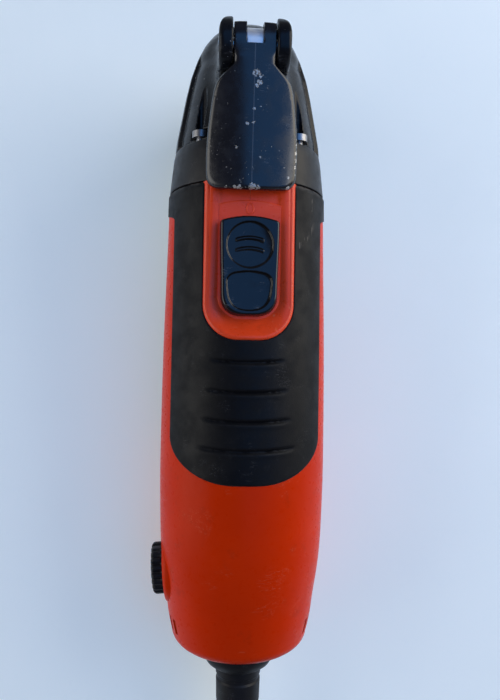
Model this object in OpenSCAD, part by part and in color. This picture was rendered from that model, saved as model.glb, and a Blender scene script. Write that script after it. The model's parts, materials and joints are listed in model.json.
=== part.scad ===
// Oscillating multi tool with a quick-release clamp lever, resting on its accessory bolt and its tail.
// The tool's own parts are drawn about its long axis: X right, Y towards the head, Z up, with the spindle
// axis at y = 0. Distances called s run backwards from the spindle, so y = -s.

/* [Housing] */
// Widest width of the motor housing
body_w = 70; // [69:0.5:72]
// Wall of the plastic casings
casing_wall = 2.6; // [2.4:0.1:2.7]
// Thickness of the moulded soft grips
grip_t = 1.4; // [1.2:0.1:1.6]
// Radius of the round opening for the speed dial
dial_hole_r = 11.1; // [11:0.1:11.4]

/* [Gear head] */
// Height of the tool's long axis above the face of the clamp bolt
axis_h = 52; // [52:0.5:54]
// Radius of the round neck under the gear head
neck_r = 19; // [18.5:0.5:20]
// Radius of the two ears that hold the lever
ear_r = 9.3; // [9:0.1:9.5]

/* [Clamp] */
// Radius of the clamp bolt's head
bolt_head_r = 9.5; // [9:0.5:11]
// Offset of the lever's cam from its pin
cam_offset = 0.8; // [0.6:0.1:0.8]
// Radius of the clamp bolt's shank
bolt_r = 5; // [4.9:0.05:5]

/* [Motor] */
// Throw of the eccentric that drives the fork
throw = 0.75; // [0.5:0.05:0.8]
// Radius of the rotor's iron core
rotor_r = 16.6; // [16:0.1:16.8]
// Number of blades on the cooling fan
fan_blades = 14; // [8:1:20]

/* [Controls] */
// Width of the slide switch
slider_w = 22.8; // [21:0.2:23]
// Radius of the speed dial
dial_r = 10.7; // [10:0.1:10.7]

/* [Cord] */
// Diameter of the mains cord
cord_d = 7; // [6:0.5:7]
// Turns of the stored cord that lie side by side in the coil
coil_across = 3; // [3:1:3]
// Layers of the stored cord in the coil
coil_layers = 4; // [3:1:4]

/* [Hidden] */
round_fn = 96;

orange = "#e6451c";
soft_black = "#202124";
gloss_black = "#0c0c0e";
head_black = "#17181b";
bright_steel = "#c4c6c9";
dark_steel = "#6d7074";
copper = "#b5693c";
pale_plastic = "#cfcabd";
far = 60;        // longer than anything that it cuts
lap = 0.5;       // how far joined solids run into each other
fit_gap = 0.3;   // air between neighbouring parts that move apart
slip = 0.05;     // radial clearance of a running fit

// Stations along the housing, as [s, radius as a share of half the widest width]
head_s = -24;
collar_s = 30;
joint_s = 47.5;
tail_s = 237.4;
body_shape = [[joint_s, 0.94], [69, 0.954], [112, 0.986], [155, 1], [176, 0.994], [198, 0.966],
    [219.5, 0.877], [230, 0.806]];
tail_shape = [[232.6, 0.771], [235.2, 0.686], [236.6, 0.571]];
boot_hole_r = 9.6;
tail_flat_r = 13.5;
end_wall_s = 233.2;

// Slope of a station list's value at station i
function slope(list, i) =
    let (a = list[max(i - 1, 0)], b = list[min(i + 1, len(list) - 1)])
    (b[1] - a[1]) / (b[0] - a[0]);
// Index of the span of the list that holds s
function span(list, s, i = 0) = i >= len(list) - 2 || s <= list[i + 1][0] ? i : span(list, s, i + 1);
// Smooth curve through the list's stations
function smooth(list, s) =
    let (i = span(list, s), a = list[i], b = list[i + 1], h = b[0] - a[0], t = (s - a[0]) / h)
    a[1] * (2 * t ^ 3 - 3 * t ^ 2 + 1) + slope(list, i) * h * (t ^ 3 - 2 * t ^ 2 + t)
    + b[1] * (3 * t ^ 2 - 2 * t ^ 3) + slope(list, i + 1) * h * (t ^ 3 - t ^ 2);
function body_r(s) = body_w / 2 * smooth(body_shape, s);

body_steps = [joint_s, 58, 69, 84, 98, 112, 126, 140, 155, 166, 176, 187, 198, 206, 213, 219.5, 225, 230];
function body_edge(inset) = [for (s = body_steps) [body_r(s) - inset, s]];

// How far the tool leans back so that the bolt and the belly of the tail touch one floor
tilt = min([for (s = [180:2:230]) atan((axis_h - body_r(s)) / (s - bolt_head_r))]);
floor_z = -bolt_head_r * sin(tilt);

module placed() {
    rotate([tilt, 0, 0])
        translate([0, 0, axis_h])
            children();
}

// Solid of revolution about the tool's long axis, from [radius, s] points
module turned(points) {
    rotate([90, 0, 0])
        rotate_extrude($fn = round_fn)
            polygon(points);
}

// Flat ring about the tool's long axis
module ring(outer_r, inner_r, s_from, s_to) {
    turned([[inner_r, s_from], [outer_r, s_from], [outer_r, s_to], [inner_r, s_to]]);
}

// Round bar about the tool's long axis
module bar(r, s_from, s_to) {
    translate([0, -s_from, 0])
        rotate([90, 0, 0])
            cylinder(r = r, h = s_to - s_from, $fn = round_fn);
}

// Ring about the spindle axis
module collar(outer_r, inner_r, z_from, z_to) {
    translate([0, 0, z_from])
        difference() {
            cylinder(r = outer_r, h = z_to - z_from, $fn = round_fn);
            translate([0, 0, -lap])
                cylinder(r = inner_r, h = z_to - z_from + 2 * lap, $fn = round_fn);
        }
}

// Box from its two corners, with its length given as s
module block(x_from, x_to, s_from, s_to, z_from, z_to) {
    translate([x_from, -s_to, z_from])
        cube([x_to - x_from, s_to - s_from, z_to - z_from]);
}

// Upright prism of a plan outline drawn in x and y
module plan(z_from, z_to) {
    translate([0, 0, z_from])
        linear_extrude(z_to - z_from)
            children();
}

// Plan of a strip that runs back from front_s and ends at end_s with two round corners
module strip_plan(half_w, corner_r, front_s, end_s) {
    translate([-half_w, corner_r - end_s])
        square([2 * half_w, end_s - corner_r - front_s]);
    translate([corner_r - half_w, -end_s])
        square([2 * (half_w - corner_r), corner_r + lap]);
    for (side = [-1, 1])
        translate([side * (half_w - corner_r), corner_r - end_s])
            circle(r = corner_r, $fn = round_fn);
}

// Race with shields, drawn as a channel that hides the balls
module outer_race(outer_r, shield_r, s_from, s_to, shield_t = 0.8, race_t = 1.6) {
    turned([[shield_r, s_from], [outer_r, s_from], [outer_r, s_to], [shield_r, s_to],
        [shield_r, s_to - shield_t], [outer_r - race_t, s_to - shield_t],
        [outer_r - race_t, s_from + shield_t], [shield_r, s_from + shield_t]]);
}

// ---- Housing ----

upper = 1;
lower = -1;

// Everything on one side of the plane where the casings part
module half_space(side) {
    block(-far, far, head_s - lap, tail_s + far, side > 0 ? 0 : -far, side > 0 ? far : 0);
}

grip_end_s = 163.4;
grip_band_s = 57;
grip_half_w = 31.4;
grip_corner_r = 16;
surround_half_w = 17.3;
surround_corner_r = 13.5;
surround_s = 108;

// Outline of the soft grip from above, with the orange surround of the slider left out
module grip_plan(with_surround) {
    difference() {
        union() {
            translate([-far, -grip_band_s])
                square([2 * far, grip_band_s - joint_s]);
            strip_plan(grip_half_w, grip_corner_r, joint_s + lap, grip_end_s);
        }
        if (with_surround)
            strip_plan(surround_half_w, surround_corner_r, 0, surround_s);
    }
}

// The layer of the housing that a soft grip takes up, with room for what it cuts above the surface
module grip_layer(side, over) {
    intersection() {
        turned(concat(body_edge(-over), [for (i = [len(body_steps) - 1:-1:0])
            [body_r(body_steps[i]) - grip_t, body_steps[i]]]));
        plan(side > 0 ? 0 : -far, side > 0 ? far : 0)
            grip_plan(side > 0);
    }
}

module casing_wall_solid() {
    outline = concat(
        body_edge(0),
        [for (p = tail_shape) [body_w / 2 * p[1], p[0]]],
        [[tail_flat_r, tail_s], [boot_hole_r, tail_s], [boot_hole_r, end_wall_s],
            [body_w / 2 * tail_shape[2][1], end_wall_s - 0.6]],
        [for (i = [len(body_steps) - 1:-1:0]) [body_r(body_steps[i]) - casing_wall, body_steps[i]]]);
    turned(outline);
}

dial_s = 206;
dial_x = 34;
dial_splay = 5;
dial_recess = 5.5;   // depth of the dial's opening below its seat
dial_shaft_r = 3;

// Puts a part on the dial's axis, with its Z pointing out of the housing's left side
module at_dial() {
    translate([-dial_x, -dial_s, 0])
        rotate([0, 0, dial_splay])
            rotate([0, -90, 0])
                children();
}

stator_r = 27.5;
rear_bearing_r = 9.5;
screw_spots = [[24, 158], [-24, 158], [19, 222], [-19, 222]];
casing_screw_r = 1.5;
screw_well_r = 3.4;
screw_well_z = -14;
bed_z = 29.6;
bed_t = 2;
bed_s = [54.6, 106];
bed_half_w = slider_w / 2 + 2.1;
vent_x = [21, 35];
vent_s = [222.5, 228.5];
vent_h = 2.2;
vent_pitch = 4.5;
cord_clamp_s = [219.5, 224.5];
cord_clamp_half_w = 12;
cord_clamp_screw_x = 9;
cord_clamp_screw_r = 1.3;
cord_clamp_top_z = 7;

// Puts a part on each of the cord clamp's two screws
module at_cord_clamp_screws(z) {
    for (x = [-cord_clamp_screw_x, cord_clamp_screw_x])
        translate([x, -(cord_clamp_s[0] + cord_clamp_s[1]) / 2, z])
            children();
}

// What both casings share: wall, stator cradles, bearing web and screw bosses
module casing(side) {
    web_s = [147, 151];
    boss_r = 4.8;
    difference() {
        intersection() {
            union() {
                casing_wall_solid();
                for (s = [80, 108])
                    ring(body_r(s) - casing_wall + lap, stator_r + 0.02, s, s + 3);
                difference() {
                    ring(body_r(web_s[0]) - casing_wall + lap, rear_bearing_r + 0.02, web_s[0], web_s[1]);
                    for (a = [45:90:315])
                        rotate([0, a, 0])
                            translate([20.5, -web_s[0] + lap, 0])
                                rotate([90, 0, 0])
                                    cylinder(r = 6.5, h = web_s[1] - web_s[0] + 2 * lap, $fn = 48);
                }
                intersection() {
                    for (spot = screw_spots)
                        translate([spot[0], -spot[1], -far])
                            cylinder(r = boss_r, h = 2 * far, $fn = 48);
                    turned(concat(body_edge(1), [[0, 230], [0, joint_s]]));
                }
                at_dial()
                    translate([0, 0, 1 - dial_recess])
                        cylinder(r = dial_hole_r + casing_wall, h = dial_recess - 1, $fn = 64);
            }
            half_space(side);
        }
        at_dial()
            translate([0, 0, -dial_recess])
                cylinder(r = dial_hole_r, h = 12, $fn = 64);
        grip_layer(side, 2);
        for (i = [-3:3]) {
            block(vent_x[0], vent_x[1], vent_s[0], vent_s[1], i * vent_pitch - vent_h / 2,
                i * vent_pitch + vent_h / 2);
            block(-vent_x[1], -vent_x[0], vent_s[0], vent_s[1], i * vent_pitch - vent_h / 2,
                i * vent_pitch + vent_h / 2);
        }
        block(-5, 5, 76, 153, 24.4, 28.6);
    }
}

module upper_casing() {
    color(orange) placed() {
        difference() {
            union() {
                difference() {
                    casing(upper);
                    block(-slider_w / 2 - 0.4, slider_w / 2 + 0.4, bed_s[0], bed_s[1] - 2, bed_z, far);
                }
                intersection() {
                    block(-bed_half_w, bed_half_w, bed_s[0] - 3, bed_s[1] + 2, bed_z - bed_t, bed_z);
                    turned(concat(body_edge(1), [[0, 230], [0, joint_s]]));
                }
            }
            block(-3.4, 3.4, 71.5, 89, bed_z - 3, bed_z + lap);
            for (spot = screw_spots)
                translate([spot[0], -spot[1], -lap])
                    cylinder(r = casing_screw_r, h = 11.5, $fn = 32);
        }
    }
}

module lower_casing() {
    color(orange) placed() {
        difference() {
            union() {
                casing(lower);
                block(-cord_clamp_half_w, cord_clamp_half_w, cord_clamp_s[0], cord_clamp_s[1], -26.4,
                    -cord_d / 2 - fit_gap);
            }
            for (spot = screw_spots)
                translate([spot[0], -spot[1], -far]) {
                    cylinder(r = casing_screw_r + 0.2, h = far + lap, $fn = 32);
                    cylinder(r = screw_well_r, h = far + screw_well_z, $fn = 32);
                }
            at_cord_clamp_screws(-16)
                cylinder(r = cord_clamp_screw_r, h = 16, $fn = 32);
        }
    }
}

module upper_grip() {
    color(soft_black) placed()
        grip_layer(upper, 0);
}

module lower_grip() {
    color(soft_black) placed()
        grip_layer(lower, 0);
}

head_screw_xz = 19.4;
head_screw_s = 28.6;     // where the head screws' heads bear on the casting
head_screw_r = 1.9;
head_screw_head = [3.6, 2.6];   // radius and height
flange_s = [34, 37.6];
flange_boss_r = 3.4;
flange_boss_end_s = 47;

module head_screw_holes(r, s_from, s_to) {
    for (x = [-1, 1])
        for (z = [-1, 1])
            translate([x * head_screw_xz, 0, z * head_screw_xz])
                bar(r, s_from, s_to);
}

module head_collar() {
    inner_r = 28.3;
    web_r = 20;
    color(head_black) placed()
        difference() {
            turned([[web_r, collar_s], [30.9, collar_s], [31.6, flange_s[0]], [body_r(joint_s), joint_s],
                [inner_r, joint_s], [inner_r, flange_s[0]], [web_r, flange_s[0]]]);
            head_screw_holes(head_screw_r + fit_gap, collar_s - lap, flange_s[0] + lap);
            head_screw_holes(flange_boss_r + 0.1, flange_s[0], joint_s);
        }
}

module motor_flange() {
    color(dark_steel) placed()
        difference() {
            union() {
                ring(28, 8, flange_s[0], flange_s[1]);
                ring(14, 11.02, flange_s[1] - lap, 45.6);
                head_screw_holes(flange_boss_r, flange_s[1] - lap, flange_boss_end_s);
            }
            head_screw_holes(head_screw_r, flange_s[0] - lap, flange_boss_end_s - 1);
        }
}

module gear_head_screws() {
    color(bright_steel) placed()
        for (x = [-1, 1])
            for (z = [-1, 1])
                translate([x * head_screw_xz, 0, z * head_screw_xz])
                    difference() {
                        union() {
                            bar(head_screw_head[0], head_screw_s - head_screw_head[1], head_screw_s);
                            bar(head_screw_r, head_screw_s - lap, 45);
                        }
                        rotate([90, 0, 0])
                            translate([0, 0, head_screw_s - head_screw_head[1] - lap])
                                cylinder(r = 1.7, h = 1.4 + lap, $fn = 6);
                    }
}

module casing_screws() {
    color(dark_steel) placed()
        for (spot = screw_spots)
            translate([spot[0], -spot[1], 0]) {
                translate([0, 0, screw_well_z - 2.3])
                    cylinder(r = screw_well_r - fit_gap, h = 2.3, $fn = 32);
                translate([0, 0, screw_well_z - lap])
                    cylinder(r = casing_screw_r, h = 24, $fn = 32);
            }
}

// ---- Gear head ----

pivot_z = 38;
pin_r = 2.5;
slot_half_w = 8;
ear_half_w = 13.2;
deck_r = 33.1;
pedestal_z = 12;        // where the ears' block starts inside the casting
screw_pocket_r = 4.3;
neck_z = 12 - axis_h;   // lower end of the neck
neck_land = 8;          // length of its clamping face
head_outline = [[0, head_s], [6.5, -23.5], [12, -21.7], [17, -18.3], [19.8, -14.5], [22.2, -9.5],
    [24.9, -1.5], [26.6, 6], [28.1, 14], [29.4, 21], [30.3, 26], [30.7, collar_s]];
head_cavity = [[0, -17], [11, -15.5], [15.5, -10.5], [19, -3], [22, 6], [24, 14], [25.2, 20],
    [25.2, collar_s + lap], [0, collar_s + lap]];
upper_bearing_z = [20, 27];
lower_bearing_z = [-35, -28];

module gear_head() {
    color(head_black) placed()
        difference() {
            union() {
                difference() {
                    union() {
                        turned(concat(head_outline, [[0, collar_s]]));
                        translate([0, 0, neck_z])
                            cylinder(r = neck_r - 0.3, h = 34, $fn = round_fn);
                        translate([0, 0, neck_z])
                            cylinder(r = neck_r, h = neck_land, $fn = round_fn);
                        block(-ear_half_w, ear_half_w, -ear_r, 8.2, pedestal_z, pivot_z);
                        intersection() {
                            block(-ear_half_w, ear_half_w, 5, collar_s, pedestal_z, far);
                            bar(deck_r, 5, collar_s);
                        }
                        translate([-ear_half_w, 0, pivot_z])
                            rotate([0, 90, 0])
                                cylinder(r = ear_r, h = 2 * ear_half_w, $fn = round_fn);
                    }
                    turned(head_cavity);
                    for (x = [-1, 1])
                        for (z = [-1, 1])
                            translate([x * head_screw_xz, 0, z * head_screw_xz])
                                bar(screw_pocket_r, 2, head_screw_s);
                }
                translate([0, 0, 17])
                    cylinder(r = 15, h = 11, $fn = round_fn);
                intersection() {
                    ring(29.8, 19, head_screw_s, collar_s);
                    block(-far, far, 20, collar_s, -far, far);
                }
            }
            head_screw_holes(head_screw_r + 0.2, head_screw_s - lap, collar_s + lap);
            translate([0, 0, 15])
                cylinder(r = 12.02, h = upper_bearing_z[1] - 15 + 0.1, $fn = round_fn);
            translate([0, 0, 15])
                cylinder(r = 8, h = 20, $fn = round_fn);
            block(-slot_half_w, slot_half_w, -15, ear_r + fit_gap, pivot_z - 8.1, far);
            block(-12.7, 12.7, 10, collar_s, 18, 24);
            translate([-far, 0, pivot_z])
                rotate([0, 90, 0])
                    cylinder(r = pin_r, h = 2 * far, $fn = 48);
            translate([0, 0, lower_bearing_z[0] - 1])
                cylinder(r = 16.02, h = 17, $fn = round_fn);
            translate([0, 0, -axis_h])
                cylinder(r = 12.4, h = 40, $fn = round_fn);
        }
}

module neck_seal() {
    color(soft_black) placed()
        collar(12.4, 10.3, -39.7, lower_bearing_z[0] - 1.2);
}

module lever_pin() {
    color(bright_steel) placed()
        translate([-ear_half_w, 0, pivot_z])
            rotate([0, 90, 0])
                cylinder(r = pin_r, h = 2 * ear_half_w, $fn = 48);
}

// Race about the spindle, with shields that hide the balls
module upright_outer_race(outer_r, shield_r, z) {
    rotate([-90, 0, 0])
        outer_race(outer_r, shield_r, z[0], z[1]);
}

module upper_bearing_outer() {
    color(dark_steel) placed()
        upright_outer_race(12, 8.8, upper_bearing_z);
}

module upper_bearing_inner() {
    color(bright_steel) placed()
        collar(8.4, 7, upper_bearing_z[0], upper_bearing_z[1]);
}

module lower_bearing_outer() {
    color(dark_steel) placed()
        upright_outer_race(16, 12.1, lower_bearing_z);
}

module lower_bearing_inner() {
    color(bright_steel) placed()
        collar(11.7, 10, lower_bearing_z[0], lower_bearing_z[1]);
}

// ---- Spindle and clamp ----

chamber_z = [-31.5, -12];
rod_r = 3;
seat_z = -36.3;
holder_z = [-46.3, -42.3];

module spindle() {
    color(bright_steel) placed()
        rotate_extrude($fn = round_fn)
            polygon([[8, -44], [8, seat_z], [10, seat_z], [10, 14], [7, 14], [7, 28], [5.6, 28], [5.6, 0],
                [rod_r + slip, 0], [rod_r + slip, chamber_z[1]], [7.5, chamber_z[1]], [7.5, chamber_z[0]],
                [bolt_r + slip, chamber_z[0]], [bolt_r + slip, -44]]);
}

arm_gap = 9.8;

module swing_fork() {
    color(dark_steel) placed() {
        difference() {
            union() {
                cylinder(r = 14, h = 18, center = true, $fn = round_fn);
                for (x = [-1, 1])
                    block(x > 0 ? arm_gap : -13.6, x > 0 ? 13.6 : -arm_gap, 4, 24, -7, 7);
            }
            cylinder(r = 10, h = 20, center = true, $fn = round_fn);
        }
    }
}

module tool_holder() {
    points = 12;
    color(dark_steel) placed()
        difference() {
            union() {
                translate([0, 0, holder_z[0]])
                    cylinder(r = 14.2, h = holder_z[1] - holder_z[0], $fn = round_fn);
                for (i = [0:points - 1])
                    rotate([0, 0, i * 360 / points])
                        translate([14, 0, holder_z[0]])
                            cylinder(r = 1.6, h = holder_z[1] - holder_z[0] - lap, $fn = 24);
                translate([0, 0, holder_z[1] - lap])
                    cylinder(r = 10, h = seat_z - holder_z[1] + lap, $fn = round_fn);
            }
            translate([0, 0, -44])
                cylinder(r = 8, h = 20, $fn = round_fn);
            translate([0, 0, -far])
                cylinder(r = bolt_r + slip, h = far, $fn = round_fn);
        }
}

spring_top_z = 15.2;

module disc_springs() {
    discs = 8;
    pitch = spring_top_z / discs;
    color(dark_steel) placed()
        for (i = [0:discs - 1])
            collar(5.3, 3.4, i * pitch + 0.2, (i + 1) * pitch - 0.2);
}

cam_r = 5.5;
rod_top_z = pivot_z + cam_offset - cam_r - 0.1;

module clamp_rod() {
    color(bright_steel) placed()
        rotate_extrude($fn = round_fn)
            polygon([[0, -15], [6, -15], [6, -12.6], [rod_r, -12.6], [rod_r, 17], [5.3, 17], [5.3, 19.6],
                [2.6, 19.6], [2.6, rod_top_z], [0, rod_top_z]]);
}

module clamp_jaws() {
    color(dark_steel) placed()
        difference() {
            collar(7.2, bolt_r + fit_gap, -28.8, -15.4);
            block(-far, far, -0.8, 0.8, -far, far);
        }
}

module clamp_bolt() {
    head_t = axis_h + holder_z[0] - fit_gap;
    color(bright_steel) placed()
        rotate_extrude($fn = round_fn)
            polygon([[0, -axis_h], [bolt_head_r, -axis_h], [bolt_head_r, head_t - axis_h - 0.8],
                [bolt_head_r - 0.8, head_t - axis_h], [bolt_r, head_t - axis_h], [bolt_r, -30],
                [4.3, -29], [4.3, -27], [bolt_r, -26], [4.3, -25], [4.3, -23], [bolt_r, -22],
                [bolt_r, -19.5], [3.6, -18], [0, -18]]);
}

lever_end_s = 52.2;
barrel_r = 7.6;
lever_top = [[45.6, 0], [45.1, 7], [44, 13], [41.7, 25], [39.2, 38], [37.2, 49], [36.4, lever_end_s + 1]];
lever_under_r = 33.7;
lever_gap_half_w = 3.15;   // half the slot that lets the rod and the cam into the lever
lever_pocket_half_w = 12;
lever_pocket_s = [16, 49];
window_end_s = 2.4;

// Outline of the lever from above: a neck between the ears that flares out behind them
module lever_plan() {
    half_w = 17.2;
    flare_end_s = 39;
    flare = [[barrel_r, 8.8], [12.8, 13.6], [14, 15], [15.4, 21.7], [16.6, 30.5], [half_w, flare_end_s],
        [half_w, flare_end_s + lap]];
    end_arc_r = 120;
    intersection() {
        union() {
            polygon(concat([[-barrel_r, 0]], [for (p = flare) [-p[0], -p[1]]],
                [for (i = [len(flare) - 1:-1:0]) [flare[i][0], -flare[i][1]]], [[barrel_r, 0]]));
            strip_plan(half_w, 4.5, flare_end_s, lever_end_s);
        }
        translate([0, end_arc_r - lever_end_s])
            circle(r = end_arc_r, $fn = 200);
    }
}

module clamp_lever() {
    color(gloss_black) placed()
        difference() {
            union() {
                intersection() {
                    turned(concat(lever_top, [[lever_under_r, lever_end_s + 1], [lever_under_r, 0]]));
                    plan(0, far)
                        lever_plan();
                }
                translate([-barrel_r, 0, pivot_z])
                    rotate([0, 90, 0])
                        cylinder(r = barrel_r, h = 2 * barrel_r, $fn = round_fn);
            }
            intersection() {
                turned([[lever_under_r - 1, lever_pocket_s[0]], [lever_under_r - 1, lever_pocket_s[1]],
                    [34.4, lever_pocket_s[1]], [36.4, 38], [38.8, 25], [40.2, lever_pocket_s[0]]]);
                block(-lever_pocket_half_w, lever_pocket_half_w, lever_pocket_s[0], lever_pocket_s[1], 0,
                    far);
            }
            for (side = [-1, 1])
                translate([side > 0 ? barrel_r : -barrel_r - 20, 0, pivot_z])
                    rotate([0, 90, 0])
                        cylinder(r = ear_r + 0.6, h = 20, $fn = round_fn);
            block(-lever_gap_half_w, lever_gap_half_w, -9, window_end_s, pivot_z - 9, pivot_z + 9);
            block(-lever_gap_half_w, lever_gap_half_w, -9, 9, pivot_z - 9, pivot_z - 3.5);
            translate([-lever_gap_half_w, 0, pivot_z + cam_offset])
                rotate([0, 90, 0])
                    cylinder(r = cam_r + 0.4, h = 2 * lever_gap_half_w, $fn = round_fn);
            translate([-far, 0, pivot_z])
                rotate([0, 90, 0])
                    cylinder(r = pin_r + slip, h = 2 * far, $fn = 48);
        }
}

module lever_cam() {
    color(bright_steel) placed()
        difference() {
            union() {
                translate([-2.9, 0, pivot_z + cam_offset])
                    rotate([0, 90, 0])
                        cylinder(r = cam_r, h = 5.8, $fn = round_fn);
                intersection() {
                    block(-2.65, 2.65, 0.2, window_end_s - 0.2, pivot_z, pivot_z + 9);
                    translate([-far, 0, pivot_z])
                        rotate([0, 90, 0])
                            cylinder(r = 7, h = 2 * far, $fn = round_fn);
                }
            }
            translate([-far, 0, pivot_z])
                rotate([0, 90, 0])
                    cylinder(r = pin_r + slip, h = 2 * far, $fn = 48);
        }
}

// ---- Motor ----

shaft_r = 4;
core_s = [72, 117];
brush_s = 134;
commutator_r = 11;

module front_bearing_outer() {
    color(dark_steel) placed()
        outer_race(11, 6.2, 38.4, 45.4);
}

module front_bearing_inner() {
    color(bright_steel) placed()
        ring(5.8, shaft_r, 38.4, 45.4);
}

module rear_bearing_outer() {
    color(dark_steel) placed()
        outer_race(rear_bearing_r, 5.8, 146, 152);
}

module rear_bearing_inner() {
    color(bright_steel) placed()
        ring(5.4, shaft_r, 146, 152);
}

module rotor_shaft() {
    color(bright_steel) placed() {
        bar(shaft_r, 25, 153);
        translate([0, 0, throw])
            bar(3, 15, 25 + lap);
    }
}

module eccentric_bearing() {
    color(dark_steel) placed()
        translate([0, 0, throw])
            ring(8, 3, 16, 22);
}

module counterweight() {
    color(dark_steel) placed()
        difference() {
            ring(12, shaft_r, 26, 31);
            block(-far, far, 25, 32, 3, far);
        }
}

module rotor_core() {
    slots = 12;
    color(dark_steel) placed()
        difference() {
            ring(rotor_r, shaft_r, core_s[0], core_s[1]);
            for (i = [0:slots - 1])
                rotate([0, i * 360 / slots, 0])
                    block(-0.9, 0.9, core_s[0] - lap, core_s[1] + lap, 10, far);
        }
}

module rotor_windings() {
    color(copper) placed() {
        ring(14.4, shaft_r, 65, core_s[0]);
        ring(14.4, shaft_r, core_s[1], 124);
    }
}

module commutator() {
    bars = 24;
    color(copper) placed()
        difference() {
            ring(commutator_r, shaft_r, 127, 141);
            for (i = [0:bars - 1])
                rotate([0, i * 360 / bars, 0])
                    block(-0.25, 0.25, 129, 141 + lap, commutator_r - 0.8, far);
        }
}

module cooling_fan() {
    color(soft_black) placed()
        difference() {
            union() {
                ring(8, shaft_r, 50, 60);
                ring(24, 7, 58.4, 60);
                for (i = [0:fan_blades - 1])
                    rotate([0, i * 360 / fan_blades, 0])
                        block(-0.6, 0.6, 51, 59, 7, 23.6);
            }
            bar(shaft_r, 49, 61);
        }
}

module air_baffle() {
    color(soft_black) placed()
        difference() {
            turned([[19, 62], [30.3, 62], [30.3, 66], [28.9, 66], [28.9, 63.4], [19, 63.4]]);
            block(-bed_half_w - fit_gap, bed_half_w + fit_gap, 60, 68, bed_z - bed_t - fit_gap, far);
        }
}

coil_spots = [[-15, 17.6], [15, 17.6], [-15, -17.6], [15, -17.6]];

module stator_core() {
    color(dark_steel) placed()
        difference() {
            intersection() {
                ring(stator_r, rotor_r + 0.6, core_s[0], core_s[1]);
                block(-far, far, core_s[0], core_s[1], -23.5, 23.5);
            }
            for (spot = coil_spots)
                translate([spot[0], 0, spot[1]])
                    bar(3.6, core_s[0] - lap, core_s[1] + lap);
        }
}

module stator_coils() {
    end_s = [68.5, 120.5];
    color(copper) placed()
        for (side = [-1, 1]) {
            for (x = [-15, 15])
                translate([x, 0, side * 17.9])
                    bar(3, end_s[0], end_s[1]);
            for (s = end_s)
                translate([-17, -s, side * 18.2])
                    rotate([0, 90, 0])
                        cylinder(r = 2.8, h = 34, $fn = 48);
        }
}

module brush_holders() {
    color(pale_plastic) placed()
        for (side = [-1, 1])
            difference() {
                block(side > 0 ? 13 : -28, side > 0 ? 28 : -13, brush_s - 6, brush_s + 6, -6, 6);
                block(side > 0 ? 12 : -27, side > 0 ? 27 : -12, brush_s - 4, brush_s + 4, -3.2, 3.2);
            }
}

module carbon_brushes() {
    color("#3a3a3c") placed()
        for (side = [-1, 1])
            block(side > 0 ? 11.4 : -20, side > 0 ? 20 : -11.4, brush_s - 3.9, brush_s + 3.9, -3.1, 3.1);
}

module brush_springs() {
    color(bright_steel) placed()
        for (side = [-1, 1])
            translate([side > 0 ? 20 : -27, -brush_s, 0])
                rotate([0, 90, 0])
                    difference() {
                        cylinder(r = 2.6, h = 7, $fn = 32);
                        translate([0, 0, -lap])
                            cylinder(r = 1.8, h = 8, $fn = 32);
                    }
}

// ---- Controls and electrics ----

slider_s = [60.8, 99.3];

module slide_switch() {
    slider_top = 34.2;
    color(gloss_black) placed() {
        difference() {
            plan(bed_z + fit_gap, slider_top)
                intersection() {
                    translate([-slider_w / 2, -slider_s[1]])
                        square([slider_w, slider_s[1] - slider_s[0]]);
                    translate([0, -slider_s[0] - 32])
                        circle(r = 32, $fn = 200);
                    translate([0, 19 - slider_s[1]])
                        circle(r = 19, $fn = 200);
                }
            translate([0, -72, slider_top + 19.2])
                sphere(r = 21.2, $fn = 64);
            translate([0, -89.2, slider_top + 14.6])
                sphere(r = 16.4, $fn = 64);
        }
        block(-3, 3, 78, 83, 26.8 - lap, bed_z + 1);
    }
}

module switch_link() {
    color(soft_black) placed() {
        block(-4, 4, 78, 171, 25, 26.3);
        block(-4, 4, 169.4, 171, 23.4, 26.3);
    }
}

module speed_dial() {
    notches = 20;
    color(soft_black) placed()
        at_dial()
            difference() {
                translate([0, 0, -2.4])
                    cylinder(r = dial_r, h = 5.6, $fn = round_fn);
                for (i = [0:notches - 1])
                    rotate([0, 0, i * 360 / notches])
                        translate([dial_r + 0.5, 0, -0.6])
                            cylinder(r = 1.1, h = far, $fn = 24);
                translate([0, 0, -3])
                    cylinder(r = dial_shaft_r, h = 4, $fn = 48);
            }
}

module dial_shaft() {
    color(bright_steel) placed()
        at_dial()
            translate([0, 0, -13])
                cylinder(r = dial_shaft_r, h = 14, $fn = 48);
}

module electronics_board() {
    color("#2c6b45") placed()
        at_dial()
            difference() {
                union() {
                    translate([-8, -11, -9.6])
                        cube([16, 26, 1.6]);
                    translate([-7, -7, -15.5])
                        cube([14, 14, 6.5]);
                }
                translate([0, 0, -13.5])
                    cylinder(r = dial_shaft_r + fit_gap, h = 10, $fn = 48);
            }
}

module suppression_capacitor() {
    color("#c9a227") placed()
        block(4, 18, 186, 210, -15, -4);
}

module power_switch() {
    color(soft_black) placed() {
        block(-9, 9, 172, 194, 8, 23);
        block(-2, 2, 172, 176, 22, 24.4);
    }
}

module cord_clamp() {
    color(soft_black) placed()
        difference() {
            block(-cord_clamp_half_w, cord_clamp_half_w, cord_clamp_s[0], cord_clamp_s[1],
                cord_clamp_top_z - 5.8, cord_clamp_top_z);
            bar(cord_d / 2 + 0.2, cord_clamp_s[0] - lap, cord_clamp_s[1] + lap);
            at_cord_clamp_screws(-lap)
                cylinder(r = cord_clamp_screw_r + 0.2, h = 10, $fn = 32);
        }
}

module cord_clamp_screws() {
    color(bright_steel) placed()
        at_cord_clamp_screws(cord_clamp_top_z) {
            cylinder(r = 2.6, h = 1.6, $fn = 32);
            translate([0, 0, -21])
                cylinder(r = cord_clamp_screw_r, h = 21 + lap, $fn = 32);
        }
}

// ---- Cord ----

boot_s = [229.6, 294];
boot_flange_r = 15.8;

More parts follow.
